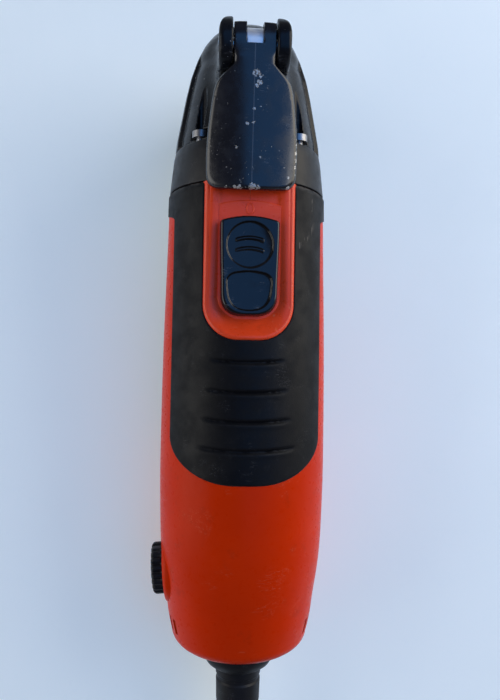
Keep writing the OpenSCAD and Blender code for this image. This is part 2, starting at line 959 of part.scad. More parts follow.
module cord_boot() {
    bore_r = cord_d / 2 + 0.2;
    color(soft_black) placed()
        turned([[bore_r, boot_s[0]], [12.4, boot_s[0]], [12.4, end_wall_s - 0.1],
            [boot_hole_r - 0.1, end_wall_s - 0.1], [boot_hole_r - 0.1, tail_s + 0.1],
            [boot_flange_r, tail_s + 0.1], [boot_flange_r, 242.4], [9.9, 245], [9.5, 251], [9.2, 253],
            [9.6, 254], [9.3, 262], [8.9, 263], [9.2, 264], [7.2, 278], [5.4, boot_s[1]],
            [bore_r, boot_s[1]]]);
}

function on_axis(s) = [0, -s * cos(tilt) - axis_h * sin(tilt), axis_h * cos(tilt) - s * sin(tilt)];

coil_centre = [12, -402];
coil_turn_r = 47.5;
coil_r = coil_turn_r + cord_d / 2 + 0.1;
coil_hole_r = coil_r - coil_across * cord_d - 0.2;
coil_h = coil_layers * cord_d + 0.1;
// Route of the cord's centre from inside the tail to the coil
cord_route = concat([for (s = [216, 235, 254, 274, boot_s[1]]) on_axis(s)],
    [[-1, -309, 22.1], [-5, -321, 19.6], [-12, -333, 15.8], [-19.5, -345, 11.2], [-26.5, -357, 7],
    [-32, -369, 4.1], [-35, -381, 2.8], [-35.5, -393, 2.7], [-35.5, -402, 2.7]]);
// Route of the last stretch, from the top of the coil into the plug
plug_x = coil_centre[0] + 32;
plug_z = floor_z + coil_h + 7.1;
plug_s = [386, 422];
tail_route = [[29, -440.5, 25.5], [37, -434.5, 29.5], [42, -428, 32.6], [plug_x, -plug_s[1], plug_z]];

// Unit vector along a route at point i
function heading(route, i) =
    let (a = route[max(i - 1, 0)], b = route[min(i + 1, len(route) - 1)], d = b - a)
    d / norm(d);

// Closed tube of ring_n sides along a route
module tube(route, r) {
    ring_n = 12;
    last = len(route) - 1;
    points = [for (i = [0:last])
        let (d = heading(route, i), level = cross(d, [0, 0, 1]), side = level / norm(level),
            up = cross(side, d))
        for (k = [0:ring_n - 1])
            route[i] + r * (side * cos(k * 360 / ring_n) + up * sin(k * 360 / ring_n))];
    sides = [for (i = [0:last - 1])
        for (k = [0:ring_n - 1])
            let (a = i * ring_n + k, b = i * ring_n + (k + 1) % ring_n)
            each [[a, b, b + ring_n], [a, b + ring_n, a + ring_n]]];
    ends = [for (k = [1:ring_n - 2])
        each [[0, k + 1, k], [last * ring_n, last * ring_n + k, last * ring_n + k + 1]]];
    polyhedron(points, concat(sides, ends));
}

module power_cord() {
    color(soft_black) {
        tube(cord_route, cord_d / 2);
        tube(tail_route, cord_d / 2);
    }
}

module cord_coil() {
    color(soft_black)
        translate([coil_centre[0], coil_centre[1], floor_z])
            rotate_extrude($fn = round_fn)
                polygon([[coil_hole_r, 1.5], [coil_hole_r + 1.5, 0], [coil_r - 1.5, 0], [coil_r, 1.5],
                    [coil_r, coil_h - 1.5], [coil_r - 1.5, coil_h], [coil_hole_r + 1.5, coil_h],
                    [coil_hole_r, coil_h - 1.5]]);
}

plug_w = 35;
pin_spacing = 18.6;

module plug_body() {
    plug_h = 14;
    tail_l = 16;
    color(soft_black) {
        translate([plug_x, -plug_s[0], plug_z])
            rotate([90, 0, 0])
                difference() {
                    linear_extrude(plug_s[1] - plug_s[0] - tail_l) {
                        square([plug_w - plug_h, plug_h], center = true);
                        for (x = [-1, 1])
                            translate([x * (plug_w - plug_h) / 2, 0])
                                circle(r = plug_h / 2, $fn = 64);
                    }
                    for (x = [-1, 1])
                        translate([x * pin_spacing / 2, 0, -lap])
                            cylinder(r = 2, h = 8 + lap, $fn = 32);
                }
        translate([plug_x, tail_l - plug_s[1] + lap, plug_z])
            rotate([90, 0, 0])
                cylinder(r1 = 6.2, r2 = 4.6, h = tail_l + lap, $fn = 64);
    }
}

module plug_pins() {
    color(bright_steel)
        for (x = [-1, 1])
            translate([plug_x + x * pin_spacing / 2, -plug_s[0] - 8, plug_z])
                rotate([-90, 0, 0])
                    cylinder(r = 2, h = 27, $fn = 32);
}

upper_casing();
lower_casing();
upper_grip();
lower_grip();
head_collar();
gear_head();
gear_head_screws();
casing_screws();
motor_flange();
air_baffle();
front_bearing_outer();
front_bearing_inner();
rear_bearing_outer();
rear_bearing_inner();
stator_core();
stator_coils();
brush_holders();
carbon_brushes();
brush_springs();
power_switch();
electronics_board();
suppression_capacitor();
upper_bearing_outer();
upper_bearing_inner();
lower_bearing_outer();
lower_bearing_inner();
neck_seal();
lever_pin();
cord_clamp();
cord_clamp_screws();
cord_boot();
power_cord();
cord_coil();
plug_body();
plug_pins();
rotor_shaft();
rotor_core();
rotor_windings();
commutator();
cooling_fan();
eccentric_bearing();
counterweight();
spindle();
swing_fork();
tool_holder();
disc_springs();
clamp_rod();
clamp_jaws();
clamp_bolt();
clamp_lever();
lever_cam();
slide_switch();
switch_link();
speed_dial();
dial_shaft();
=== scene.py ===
import json
from math import asin, atan2, cos, hypot, pi, radians, sin, sqrt
import bmesh
import bpy
import numpy as np
from mathutils import Matrix, Vector


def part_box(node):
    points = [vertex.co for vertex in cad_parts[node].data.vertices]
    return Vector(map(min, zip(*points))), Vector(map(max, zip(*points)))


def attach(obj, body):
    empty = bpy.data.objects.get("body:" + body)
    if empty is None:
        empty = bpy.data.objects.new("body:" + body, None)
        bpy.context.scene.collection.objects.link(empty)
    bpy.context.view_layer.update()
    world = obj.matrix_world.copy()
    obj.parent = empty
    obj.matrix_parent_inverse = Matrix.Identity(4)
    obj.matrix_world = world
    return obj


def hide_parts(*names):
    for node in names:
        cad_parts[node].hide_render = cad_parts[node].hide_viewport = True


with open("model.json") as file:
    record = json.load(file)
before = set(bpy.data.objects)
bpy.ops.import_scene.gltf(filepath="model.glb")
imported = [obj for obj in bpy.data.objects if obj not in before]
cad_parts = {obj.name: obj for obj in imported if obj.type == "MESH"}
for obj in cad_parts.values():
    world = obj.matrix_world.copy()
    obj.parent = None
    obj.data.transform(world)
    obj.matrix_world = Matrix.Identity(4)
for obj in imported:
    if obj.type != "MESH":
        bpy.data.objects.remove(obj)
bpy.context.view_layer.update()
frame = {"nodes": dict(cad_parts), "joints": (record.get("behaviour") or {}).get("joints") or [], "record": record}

joints = {joint["name"]: joint for joint in frame["joints"]}
MM = 0.001

# ---- Places in the tool's own frame ----

spindle_up = joints["spindle_swing"]["axis"]
TILT = atan2(-spindle_up[1], spindle_up[2])
PIVOT_Z = 38
PIN_WAY_R = 2.55
lever_hinge = joints["lever_swing"]["pos_m"]
AXIS_H = hypot(lever_hinge[1], lever_hinge[2]) / MM - PIVOT_Z
BOLT_R = 9.5
FLOOR_Z = -BOLT_R * sin(TILT)
BODY_R = 35
JOINT_S = 47.5
BODY_SHAPE = [(47.5, 0.94), (69, 0.954), (112, 0.986), (155, 1), (176, 0.994), (198, 0.966), (219.5, 0.877),
              (230, 0.806)]
BED_Z = 29.6
SLIDER_TOP = 34.2
GRIP_S, GRIP_END, GRIP_HALF_W, GRIP_CORNER, GRIP_REACH = 47.55, 163.4, 29.8, 16, 25
GRIP_BEND = GRIP_END - GRIP_CORNER


def to_row(points):
    """Tool millimetres (x, s, z) to metres in the row's frame."""
    x, s, z = np.asarray(points, float).reshape(-1, 3).T
    y, z = -s, z + AXIS_H
    return np.stack([x, y * cos(TILT) - z * sin(TILT), y * sin(TILT) + z * cos(TILT)], 1) * MM


def smooth_line(stations, at):
    """Hermite curve through (place, value) stations, flat-ended like the housing's own."""
    place, value = np.array(stations, float).T
    rise = np.empty_like(value)
    rise[1:-1] = (value[2:] - value[:-2]) / (place[2:] - place[:-2])
    rise[0] = (value[1] - value[0]) / (place[1] - place[0])
    rise[-1] = (value[-1] - value[-2]) / (place[-1] - place[-2])
    at = np.clip(at, place[0], place[-1])
    i = np.clip(np.searchsorted(place, at, side="right") - 1, 0, len(place) - 2)
    h = place[i + 1] - place[i]
    t = (at - place[i]) / h
    return (value[i] * (2 * t**3 - 3 * t**2 + 1) + rise[i] * h * (t**3 - 2 * t**2 + t)
            + value[i + 1] * (3 * t**2 - 2 * t**3) + rise[i + 1] * h * (t**3 - t**2))


def body_r(s):
    return BODY_R * smooth_line(BODY_SHAPE, s)


def ease(value, start, end):
    """0 before start, 1 after end, and smooth between them."""
    t = np.clip((value - start) / (end - start), 0, 1)
    return t * t * (3 - 2 * t)


# ---- Meshes ----

def add_object(name, data):
    obj = bpy.data.objects.new(name, data)
    bpy.context.scene.collection.objects.link(obj)
    return obj


def build(name, points, faces, in_row=False):
    mesh = bpy.data.meshes.new(name)
    points = np.asarray(points, float).reshape(-1, 3) * MM if in_row else to_row(points)
    mesh.from_pydata(points.tolist(), [], [tuple(face) for face in np.asarray(faces).tolist()])
    mesh.validate()
    return add_object(name, mesh)


def weld(obj, gap=0.002, outward=True):
    bm = bmesh.new()
    bm.from_mesh(obj.data)
    bmesh.ops.remove_doubles(bm, verts=bm.verts, dist=gap * MM)
    bmesh.ops.dissolve_degenerate(bm, edges=bm.edges, dist=gap * MM / 4)
    if outward:
        bmesh.ops.recalc_face_normals(bm, faces=bm.faces)
    bm.to_mesh(obj.data)
    bm.free()
    return obj


def sheet(name, points, wrap_rows=False, wrap_columns=False, at=None, in_row=False):
    """Object from a rows x columns x 3 array of points, moved by at(points) if it is given."""
    rows, columns = points.shape[:2]
    index = np.arange(rows * columns).reshape(rows, columns)
    if wrap_rows:
        index = np.vstack([index, index[:1]])
    if wrap_columns:
        index = np.hstack([index, index[:, :1]])
    faces = np.stack([index[:-1, :-1], index[1:, :-1], index[1:, 1:], index[:-1, 1:]], -1)
    return build(name, at(points.reshape(-1, 3)) if at else points, faces.reshape(-1, 4), in_row)


def on_circle(r, h, angle):
    return np.stack([r * np.sin(angle), h + 0 * angle, r * np.cos(angle)], -1)


def bake_modifiers(obj):
    graph = bpy.context.evaluated_depsgraph_get()
    graph.update()
    mesh = bpy.data.meshes.new_from_object(obj.evaluated_get(graph))
    obj.modifiers.clear()
    obj.data = mesh
    return obj


def thicken(obj, wall):
    """Turns an open sheet round the long axis into a closed shell, inwards."""
    mesh = obj.data
    centre = np.array([face.center for face in mesh.polygons])
    normal = np.array([face.normal for face in mesh.polygons])
    axis_y = np.array([0, cos(TILT), sin(TILT)])
    centre -= to_row([0, 0, 0])[0]
    outward = centre - (centre @ axis_y)[:, None] * axis_y
    if (outward * normal).sum() < 0:
        mesh.flip_normals()
    shell = obj.modifiers.new("wall", "SOLIDIFY")
    shell.thickness = wall * MM
    shell.offset = -1
    shell.use_even_offset = False
    return bake_modifiers(obj)


def cut(obj, cutter):
    knife = obj.modifiers.new("cut", "BOOLEAN")
    knife.operation = "DIFFERENCE"
    knife.solver = "MANIFOLD"
    knife.object = cutter
    bake_modifiers(obj)
    bpy.data.objects.remove(cutter)
    return obj


def join(name, parts):
    bm = bmesh.new()
    for part in parts:
        bm.from_mesh(part.data)
        bpy.data.objects.remove(part)
    mesh = bpy.data.meshes.new(name)
    bm.to_mesh(mesh)
    bm.free()
    return add_object(name, mesh)


def soften(obj, angle=35):
    """Smooth shading, with edges sharper than the angle left crisp."""
    mesh = obj.data
    mesh.polygons.foreach_set("use_smooth", np.ones(len(mesh.polygons), bool))
    mesh.set_sharp_from_angle(angle=radians(angle))
    return obj


def finish(obj, body, slot, replaced=(), angle=35, material=None):
    """Shades the piece and gives it its body and finish, which is the slot's own by default."""
    soften(obj, angle)
    obj.data.materials.clear()
    obj.data.materials.append(material or SLOTS[slot])
    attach(obj, body)
    if replaced:
        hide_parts(*replaced)
    return obj


def turned(name, outline, steps=96, at=None, in_row=False):
    """Solid of revolution from (radius, height) points, round the long axis, or placed by at(points)."""
    outline = np.array(outline, float)
    angle = np.linspace(0, 2 * pi, steps, endpoint=False)
    r, h = outline[:, 0][:, None], outline[:, 1][:, None]
    return weld(sheet(name, on_circle(r, h, angle), wrap_columns=True, at=at, in_row=in_row))


def rounded(points, radius, steps=4):
    """Closed outline with each corner turned into a small arc."""
    points = np.array(points, float)
    result = []
    for i, corner in enumerate(points):
        before, after = points[i - 1] - corner, points[(i + 1) % len(points)] - corner
        reach = min(radius, 0.45 * np.linalg.norm(before), 0.45 * np.linalg.norm(after))
        a = corner + before / np.linalg.norm(before) * reach
        b = corner + after / np.linalg.norm(after) * reach
        for t in np.linspace(0, 1, steps + 1):
            result.append((1 - t) ** 2 * a + 2 * t * (1 - t) * corner + t**2 * b)
    return np.array(result)


# ---- Sculpted solids: a distance field in millimetres, meshed where it crosses zero ----

def blend_min(a, b, radius):
    h = np.maximum(radius - np.abs(a - b), 0) / radius
    return np.minimum(a, b) - h * h * radius / 4


def blend_max(a, b, radius):
    return -blend_min(-a, -b, radius)


def slab(value, low, high):
    return np.maximum(low - value, value - high)


def brick(x, s, z, low, high, radius):
    """Box between two corners, with rounded edges."""
    dx, ds, dz = (slab(v, a + radius, b - radius) for v, a, b in zip((x, s, z), low, high))
    outside = np.sqrt(np.maximum(dx, 0) ** 2 + np.maximum(ds, 0) ** 2 + np.maximum(dz, 0) ** 2)
    return outside + np.minimum(np.maximum(np.maximum(dx, ds), dz), 0) - radius


def sculpt(name, field, low, high, step, in_row=False):
    low = np.array(low, float) - 2 * step
    count = np.ceil((np.array(high, float) + 2 * step - low) / step).astype(int) + 1
    axes = [low[i] + step * np.arange(count[i]) for i in range(3)]
    d = field(*np.meshgrid(*axes, indexing="ij", sparse=True))
    d = np.broadcast_to(d, count)
    inside = d < 0
    quads, crossings = [], []
    for a in range(3):
        first, second = [slice(None)] * 3, [slice(None)] * 3
        first[a], second[a] = slice(0, -1), slice(1, None)
        start = np.argwhere(inside[tuple(first)] != inside[tuple(second)])
        end = start.copy()
        end[:, a] += 1
        d0, d1 = d[tuple(start.T)], d[tuple(end.T)]
        crossing = start.astype(float)
        crossing[:, a] += d0 / (d0 - d1)
        b, c = (a + 1) % 3, (a + 2) % 3
        cells = []
        for back_b, back_c in ((0, 0), (1, 0), (1, 1), (0, 1)):
            cell = start.copy()
            cell[:, b] -= back_b
            cell[:, c] -= back_c
            cells.append(np.ravel_multi_index(cell.T, count))
        quad = np.stack(cells, 1)
        quad[d0 > 0] = quad[d0 > 0][:, ::-1]
        quads.append(quad)
        crossings.append(np.repeat(crossing, 4, 0))
    place = np.unique(np.concatenate(quads).ravel(), return_inverse=True)[1].ravel()
    crossings = np.concatenate(crossings)
    points = np.stack([np.bincount(place, crossings[:, k]) for k in range(3)], 1)
    points = low + step * points / np.bincount(place)[:, None]
    for _ in range(2):
        off = field(*points.T)
        rises = [field(*(points + e).T) - field(*(points - e).T) for e in np.eye(3) * step / 4]
        slope = np.stack(rises, 1) * 2 / step
        move = off[:, None] * slope / np.maximum((slope**2).sum(1), 0.2)[:, None]
        points -= np.clip(move, -0.4 * step, 0.4 * step)
    obj = build(name, points, place.reshape(-1, 4), in_row)
    return weld(obj, 0.0005)


# ---- Materials ----

class Paint:
    """A Principled material whose nodes are added by short calls. Lengths are in millimetres."""

    def __init__(self, name, **sockets):
        self.material = bpy.data.materials.new(name)
        self.material.use_nodes = True
        self.nodes = self.material.node_tree.nodes
        self.links = self.material.node_tree.links
        self.shader = self.nodes["Principled BSDF"]
        self.coords = self.nodes.new("ShaderNodeTexCoord").outputs["Object"]
        self.height = None
        for socket, value in sockets.items():
            self.shader.inputs[socket.replace("_", " ")].default_value = value

    def put(self, socket, value):
        if isinstance(value, bpy.types.NodeSocket):
            self.links.new(value, socket)
        elif isinstance(value, tuple) and len(value) == 3 and socket.type == "RGBA":
            socket.default_value = (*value, 1)
        else:
            socket.default_value = value

    def node(self, kind, inputs=(), **settings):
        node = self.nodes.new(kind)
        for setting, value in settings.items():
            setattr(node, setting, value)
        for key, value in dict(inputs).items():
            self.put(node.inputs[key], value)
        return node

    def noise(self, size, detail=3.0, roughness=0.55):
        """Noise from 0 to 1, with features about size millimetres across."""
        inputs = {"Vector": self.coords, "Scale": 1 / (size * MM), "Detail": detail, "Roughness": roughness}
        return self.node("ShaderNodeTexNoise", inputs).outputs["Fac"]

    def cells(self, size):
        inputs = {"Vector": self.coords, "Scale": 1 / (size * MM)}
        return self.node("ShaderNodeTexVoronoi", inputs).outputs["Distance"]

    def math(self, operation, a, b=0.0):
        node = self.node("ShaderNodeMath", operation=operation)
        self.put(node.inputs[0], a)
        self.put(node.inputs[1], b)
        return node.outputs[0]

    def times(self, a, b):
        return self.math("MULTIPLY", a, b)

    def plus(self, a, b):
        return self.math("ADD", a, b)

    def most(self, a, b):
        return self.math("MAXIMUM", a, b)

    def span(self, value, low, high, to_low=0.0, to_high=1.0):
        inputs = {"Value": value, "From Min": low, "From Max": high, "To Min": to_low, "To Max": to_high}
        return self.node("ShaderNodeMapRange", inputs, interpolation_type="SMOOTHSTEP").outputs["Result"]

    def mix(self, share, a, b):
        node = self.node("ShaderNodeMix", data_type="RGBA")
        for socket, value in ((node.inputs[0], share), (node.inputs[6], a), (node.inputs[7], b)):
            self.put(socket, value)
        return node.outputs[2]

    def scratches(self, size, angle, amount):
        """Thin straight marks: noise drawn out along one direction, where it crosses its middle."""
        drawn_out = {"Vector": self.coords, "Rotation": angle, "Scale": (1, 14, 14)}
        turn = self.node("ShaderNodeMapping", drawn_out)
        inputs = {"Vector": turn.outputs["Vector"], "Scale": 1 / (size * MM), "Detail": 2.0, "Roughness": 0.6}
        lines = self.node("ShaderNodeTexNoise", inputs).outputs["Fac"]
        thin = self.span(self.math("ABSOLUTE", self.math("SUBTRACT", lines, 0.5)), 0.0, 0.012, 1.0, 0.0)
        patches = self.span(self.noise(size * 0.6, 2.0), 0.62 - amount, 0.70 - amount)
        return self.math("MULTIPLY", thin, patches)

    def edges(self, low=0.52, high=0.62):
        """1 on worn outer edges."""
        return self.span(self.node("ShaderNodeNewGeometry").outputs["Pointiness"], low, high)

    def attribute(self, name):
        return self.node("ShaderNodeAttribute", attribute_name=name).outputs["Fac"]

    def colour(self, value):
        self.put(self.shader.inputs["Base Color"], value)

    def rough(self, value, *ends):
        self.put(self.shader.inputs["Roughness"], self.span(value, *ends))

    def metal(self, value):
        self.put(self.shader.inputs["Metallic"], value)

    def bump(self, value, depth, strength=1.0):
        """Adds relief of that depth in millimetres."""
        inputs = {"Height": value, "Distance": depth * MM, "Strength": strength}
        node = self.node("ShaderNodeBump", inputs)
        if self.height is not None:
            self.links.new(self.height, node.inputs["Normal"])
        self.height = node.outputs["Normal"]
        self.put(self.shader.inputs["Normal"], self.height)


def orange_plastic(name, low, high, shine):
    paint = Paint(name, Specular_IOR_Level=shine)
    tone = paint.mix(paint.noise(26, 3.0), low, high)
    long_scuffs = paint.scratches(30, (0.2, 0.3, 0.4), 0.0)
    scuffs = paint.most(long_scuffs, paint.scratches(22, (1.1, 0.4, 1.9), 0.02))
    worn = paint.times(paint.edges(0.53, 0.66), paint.span(paint.noise(4, 4.0), 0.45, 0.62))
    grime = paint.span(paint.noise(9, 5.0, 0.7), 0.56, 0.74, 0.0, 0.35)
    tone = paint.mix(grime, tone, (0.34, 0.02, 0.004))
    tone = paint.mix(paint.times(scuffs, 0.14), tone, (0.95, 0.42, 0.24))
    paint.colour(paint.mix(paint.times(worn, 0.35), tone, (0.95, 0.33, 0.16)))
    marks = paint.plus(paint.noise(2.5, 5.0), paint.times(scuffs, 0.4))
    paint.rough(marks, 0.3, 0.9, 0.26, 0.5)
    paint.bump(paint.noise(0.45, 2.0), 0.012)
    paint.bump(scuffs, -0.005)
    return paint.material


def soft_rubber():
    paint = Paint("soft_rubber", Specular_IOR_Level=0.14)
    tone = paint.mix(paint.noise(18, 4.0), (0.0015, 0.0015, 0.002), (0.005, 0.005, 0.006))
    dust = paint.span(paint.noise(5, 6.0, 0.7), 0.55, 0.8, 0.0, 0.12)
    tone = paint.mix(dust, tone, (0.07, 0.065, 0.06))
    lint = paint.scratches(14, (0.5, 0.2, 1.0), 0.03)
    rubbed = paint.times(paint.edges(0.515, 0.60), paint.span(paint.noise(3, 4.0), 0.4, 0.65))
    tone = paint.mix(paint.times(lint, 0.25), tone, (0.20, 0.19, 0.18))
    paint.colour(paint.mix(paint.times(rubbed, 0.4), tone, (0.22, 0.19, 0.16)))
    paint.rough(paint.noise(7, 4.0), 0.3, 0.75, 0.42, 0.62)
    paint.bump(paint.cells(0.55), 0.03, 0.7)
    paint.bump(paint.noise(0.25, 2.0), 0.01)
    return paint.material


def enamel(name, low, high, peel, chips_from, shine, parting=0.0):
    """Black enamel over cast metal, chipped where the chips attribute or the edges say."""
    paint = Paint(name, Specular_IOR_Level=shine, Coat_Weight=0.25 * shine, Coat_Roughness=0.12)
    tone = paint.mix(paint.noise(12, 4.0), low, high)
    ragged = paint.noise(0.8, 5.0, 0.75)
    spots = paint.span(paint.times(paint.attribute("chips"), paint.span(ragged, 0.38, 0.6)), 0.3, 0.42)
    rim = paint.edges(chips_from, chips_from + 0.12)
    edge = paint.span(paint.plus(rim, paint.times(ragged, 0.8)), 1.1, 1.18)
    specks = paint.span(paint.noise(0.75, 2.0), 0.70, 0.74)
    specks = paint.times(specks, paint.span(paint.noise(9, 2.0), 0.5, 0.62))
    bare = paint.most(paint.most(spots, edge), specks)
    fine = paint.scratches(16, (0.3, 0.1, 0.7), 0.03)
    dust = paint.span(paint.noise(3.5, 6.0, 0.75), 0.55, 0.82, 0.0, 0.04)
    tone = paint.mix(dust, tone, (0.20, 0.19, 0.18))
    tone = paint.mix(paint.times(fine, 0.3), tone, (0.25, 0.25, 0.26))
    if parting:
        across = paint.node("ShaderNodeSeparateXYZ", {"Vector": paint.coords}).outputs["X"]
        line = paint.span(paint.math("ABSOLUTE", across), 0.0001, 0.0003, parting, 0.0)
        tone = paint.mix(line, tone, (0.10, 0.11, 0.13))
        paint.bump(line, 0.03)
    paint.colour(paint.mix(bare, tone, (0.52, 0.50, 0.47)))
    paint.metal(paint.times(bare, 0.8))
    marks = paint.plus(paint.noise(5, 4.0), paint.times(bare, 0.5))
    paint.rough(marks, 0.3, 1.0, 0.2, 0.48)
    paint.bump(paint.noise(peel, 2.0), 0.02)
    paint.bump(bare, -0.05)
    return paint.material


def black_plastic(name, low, high, rough_low, rough_high, grain, wear=0.25, shine=0.2):
    paint = Paint(name, Specular_IOR_Level=shine)
    tone = paint.mix(paint.noise(10, 3.0), low, high)
    fine = paint.scratches(12, (0.1, 0.2, 0.5), 0.02)
    fine = paint.most(fine, paint.scratches(18, (0.9, 0.2, 2.2), 0.02))
    dust = paint.span(paint.noise(2.5, 6.0, 0.75), 0.56, 0.85, 0.0, 0.06)
    tone = paint.mix(dust, tone, (0.25, 0.24, 0.23))
    worn = paint.times(paint.edges(0.54, 0.68), wear)
    tone = paint.mix(worn, tone, (0.2, 0.2, 0.2))
    paint.colour(paint.mix(paint.times(fine, 0.3), tone, (0.3, 0.3, 0.3)))
    marks = paint.plus(paint.noise(4, 5.0), paint.times(fine, 0.4))
    paint.rough(marks, 0.3, 0.9, rough_low, rough_high)
    paint.bump(paint.noise(grain, 2.0), 0.01)
    return paint.material


def bare_metal(name, low, high, rough_low, rough_high, stain=(0.25, 0.2, 0.15)):
    paint = Paint(name, Metallic=1.0)
    turned_marks = paint.noise(0.5, 3.0, 0.6)
    tone = paint.mix(paint.noise(6, 4.0), low, high)
    tone = paint.mix(paint.span(paint.noise(3, 6.0, 0.75), 0.55, 0.8, 0.0, 0.3), tone, stain)
    paint.colour(tone)
    marks = paint.plus(turned_marks, paint.noise(4, 4.0))
    paint.rough(marks, 0.6, 1.4, rough_low, rough_high)
    paint.bump(turned_marks, 0.008)
    return paint.material


def moulded(name, low, high, rough_low=0.4, rough_high=0.6, grain=0.4, coat=0.0):
    """A plain moulded or wound inner part."""
    paint = Paint(name, Coat_Weight=coat)
    paint.colour(paint.mix(paint.noise(5, 5.0, 0.6), low, high))
    paint.rough(paint.noise(3, 4.0), 0.3, 0.7, rough_low, rough_high)
    paint.bump(paint.noise(grain, 3.0), 0.02)
    return paint.material


def stacked(name, low, high, pitch):
    """Sheets stacked along the tool's axis."""
    paint = Paint(name, Metallic=0.9)
    inputs = {"Vector": paint.coords, "Scale": 1 / (pi * pitch * MM), "Distortion": 0.3}
    layers = paint.node("ShaderNodeTexWave", inputs, bands_direction="Y").outputs["Fac"]
    paint.colour(paint.mix(layers, low, high))
    paint.rough(paint.noise(3, 4.0), 0.3, 0.7, 0.4, 0.6)
    paint.bump(layers, 0.05)
    return paint.material


def pale_floor():
    paint = Paint("floor_surface")
    tone = paint.mix(paint.noise(60, 4.0), (0.66, 0.71, 0.76), (0.74, 0.78, 0.82))
    paint.colour(paint.mix(paint.span(paint.noise(3, 6.0, 0.7), 0.5, 0.8, 0.0, 0.2), tone, (0.6, 0.64, 0.68)))
    paint.rough(paint.noise(9, 4.0), 0.3, 0.7, 0.5, 0.7)
    paint.bump(paint.noise(1.2, 4.0), 0.03)
    paint.shader.inputs["Emission Color"].default_value = (0.83, 1.0, 1.0, 1)
    paint.shader.inputs["Emission Strength"].default_value = 0.25
    return paint.material


# Painted light: a brighter, shinier copy of the casing's own orange, for the slider surround, track plate and 0
# mark, which are the same plastic.
LIT_ORANGE_COPY = orange_plastic("orange_painted_lit", (0.76, 0.050, 0.008), (0.86, 0.068, 0.014), 0.3)
CAM_STEEL = bare_metal("worn_cam_steel", (0.80, 0.81, 0.83), (0.93, 0.93, 0.94), 0.5, 0.65)
SLOTS = {
    "casing": orange_plastic("orange_plastic", (0.55, 0.021, 0.0003), (0.67, 0.031, 0.0006), 0.06),
    "soft_grip": soft_rubber(),
    "head_paint": enamel("head_enamel", (0.002, 0.0025, 0.004), (0.007, 0.008, 0.011), 1.6, 0.66, 0.14),
    "lever_paint": enamel("lever_enamel", (0.0015, 0.002, 0.004), (0.005, 0.006, 0.010), 2.4, 0.64, 0.5, 0.4),
    "gloss_plastic": black_plastic("gloss_black", (0.0015, 0.0015, 0.002), (0.004, 0.004, 0.005), 0.08, 0.3,
                                   3.0, 0.03, 0.4),
    "black_plastic": black_plastic("satin_black", (0.004, 0.004, 0.005), (0.012, 0.012, 0.014), 0.32, 0.55,
                                   0.5),
    "steel": bare_metal("ground_steel", (0.52, 0.53, 0.55), (0.72, 0.72, 0.73), 0.2, 0.42),
    "dark_steel": bare_metal("oiled_steel", (0.16, 0.16, 0.17), (0.30, 0.30, 0.31), 0.3, 0.5),
    "laminations": stacked("laminated_steel", (0.10, 0.10, 0.11), (0.26, 0.26, 0.27), 0.5),
    "copper": bare_metal("copper_wire", (0.45, 0.16, 0.06), (0.70, 0.30, 0.14), 0.25, 0.45,
                         (0.2, 0.08, 0.05)),
    "cord_rubber": black_plastic("cord_sheath", (0.004, 0.004, 0.005), (0.011, 0.011, 0.012), 0.4, 0.62, 0.8),
    "carbon": moulded("pressed_carbon", (0.01, 0.01, 0.011), (0.035, 0.035, 0.036), 0.5, 0.7),
    "pale_plastic": moulded("pale_resin", (0.42, 0.38, 0.30), (0.60, 0.56, 0.47)),
    "board": moulded("circuit_board", (0.015, 0.10, 0.04), (0.03, 0.18, 0.07), 0.3, 0.45, 0.8, 0.4),
    "capacitor_case": moulded("capacitor_resin", (0.50, 0.34, 0.03), (0.66, 0.46, 0.06), 0.25, 0.4, 0.8, 0.3),
}

# ---- Camera, light and floor ----

def studio():
    target = Vector(to_row([2.7, 112.1, 0])[0])
    lean, pitch, yaw, distance = radians(-3.39), radians(5.23), radians(-0.72), 0.2598
    out = Vector((sin(lean) * cos(pitch), -sin(pitch), cos(lean) * cos(pitch)))
    up = Vector((sin(yaw), cos(yaw), 0))
    side = up.cross(out).normalized()
    up = out.cross(side)
    camera = add_object("camera", bpy.data.cameras.new("camera"))
    camera.data.lens = 30.9
    camera.data.clip_start = 0.01
    turn = Matrix((side, up, out)).transposed().to_4x4()
    camera.matrix_world = Matrix.Translation(target + out * distance) @ turn
    bpy.context.scene.camera = camera
    lamps = (
        ("sky", (0.40, 0.0, 1.0), (0, -0.12, 0), 1.2, 5.4, (0.08, 0.38, 1.0)),
        ("window", (0.9, 0.2, 0.42), (0, -0.1, 0), 0.9, 9.0, (1.0, 0.93, 0.80)),
        ("fill", (-1.1, -0.15, 0.36), (0, -0.1, 0), 1.0, 7.5, (1.0, 0.98, 0.93)),
    )
    for name, place, aim, size, power, colour in lamps:
        lamp = add_object(name, bpy.data.lights.new(name, "AREA"))
        lamp.data.size = size
        lamp.data.energy = power
        lamp.data.color = colour
        lamp.location = place
        lamp.rotation_euler = (Vector(place) - Vector(aim)).to_track_quat("Z", "Y").to_euler()
    world = bpy.data.worlds.new("studio")
    world.use_nodes = True
    tree = world.node_tree
    split = tree.nodes.new("ShaderNodeSeparateXYZ")
    tree.links.new(tree.nodes.new("ShaderNodeTexCoord").outputs["Generated"], split.inputs["Vector"])
    fade = tree.nodes.new("ShaderNodeMapRange")
    tree.links.new(split.outputs["Z"], fade.inputs["Value"])
    fade.inputs["From Max"].default_value = 0.7
    sky = tree.nodes.new("ShaderNodeMix")
    sky.data_type = "RGBA"
    tree.links.new(fade.outputs["Result"], sky.inputs[0])
    sky.inputs[6].default_value = (0.22, 0.22, 0.23, 1)
    sky.inputs[7].default_value = (0.10, 0.105, 0.14, 1)
    tree.links.new(sky.outputs[2], tree.nodes["Background"].inputs["Color"])
    bpy.context.scene.world = world
    bpy.context.scene.view_settings.view_transform = "Standard"
    reach = 1500
    corners = [(x * reach, y * reach, FLOOR_Z) for x, y in ((-1, -1), (1, -1), (1, 1), (-1, 1))]
    floor = build("floor", corners, [[0, 1, 2, 3]], in_row=True)
    floor.data.materials.append(pale_floor())


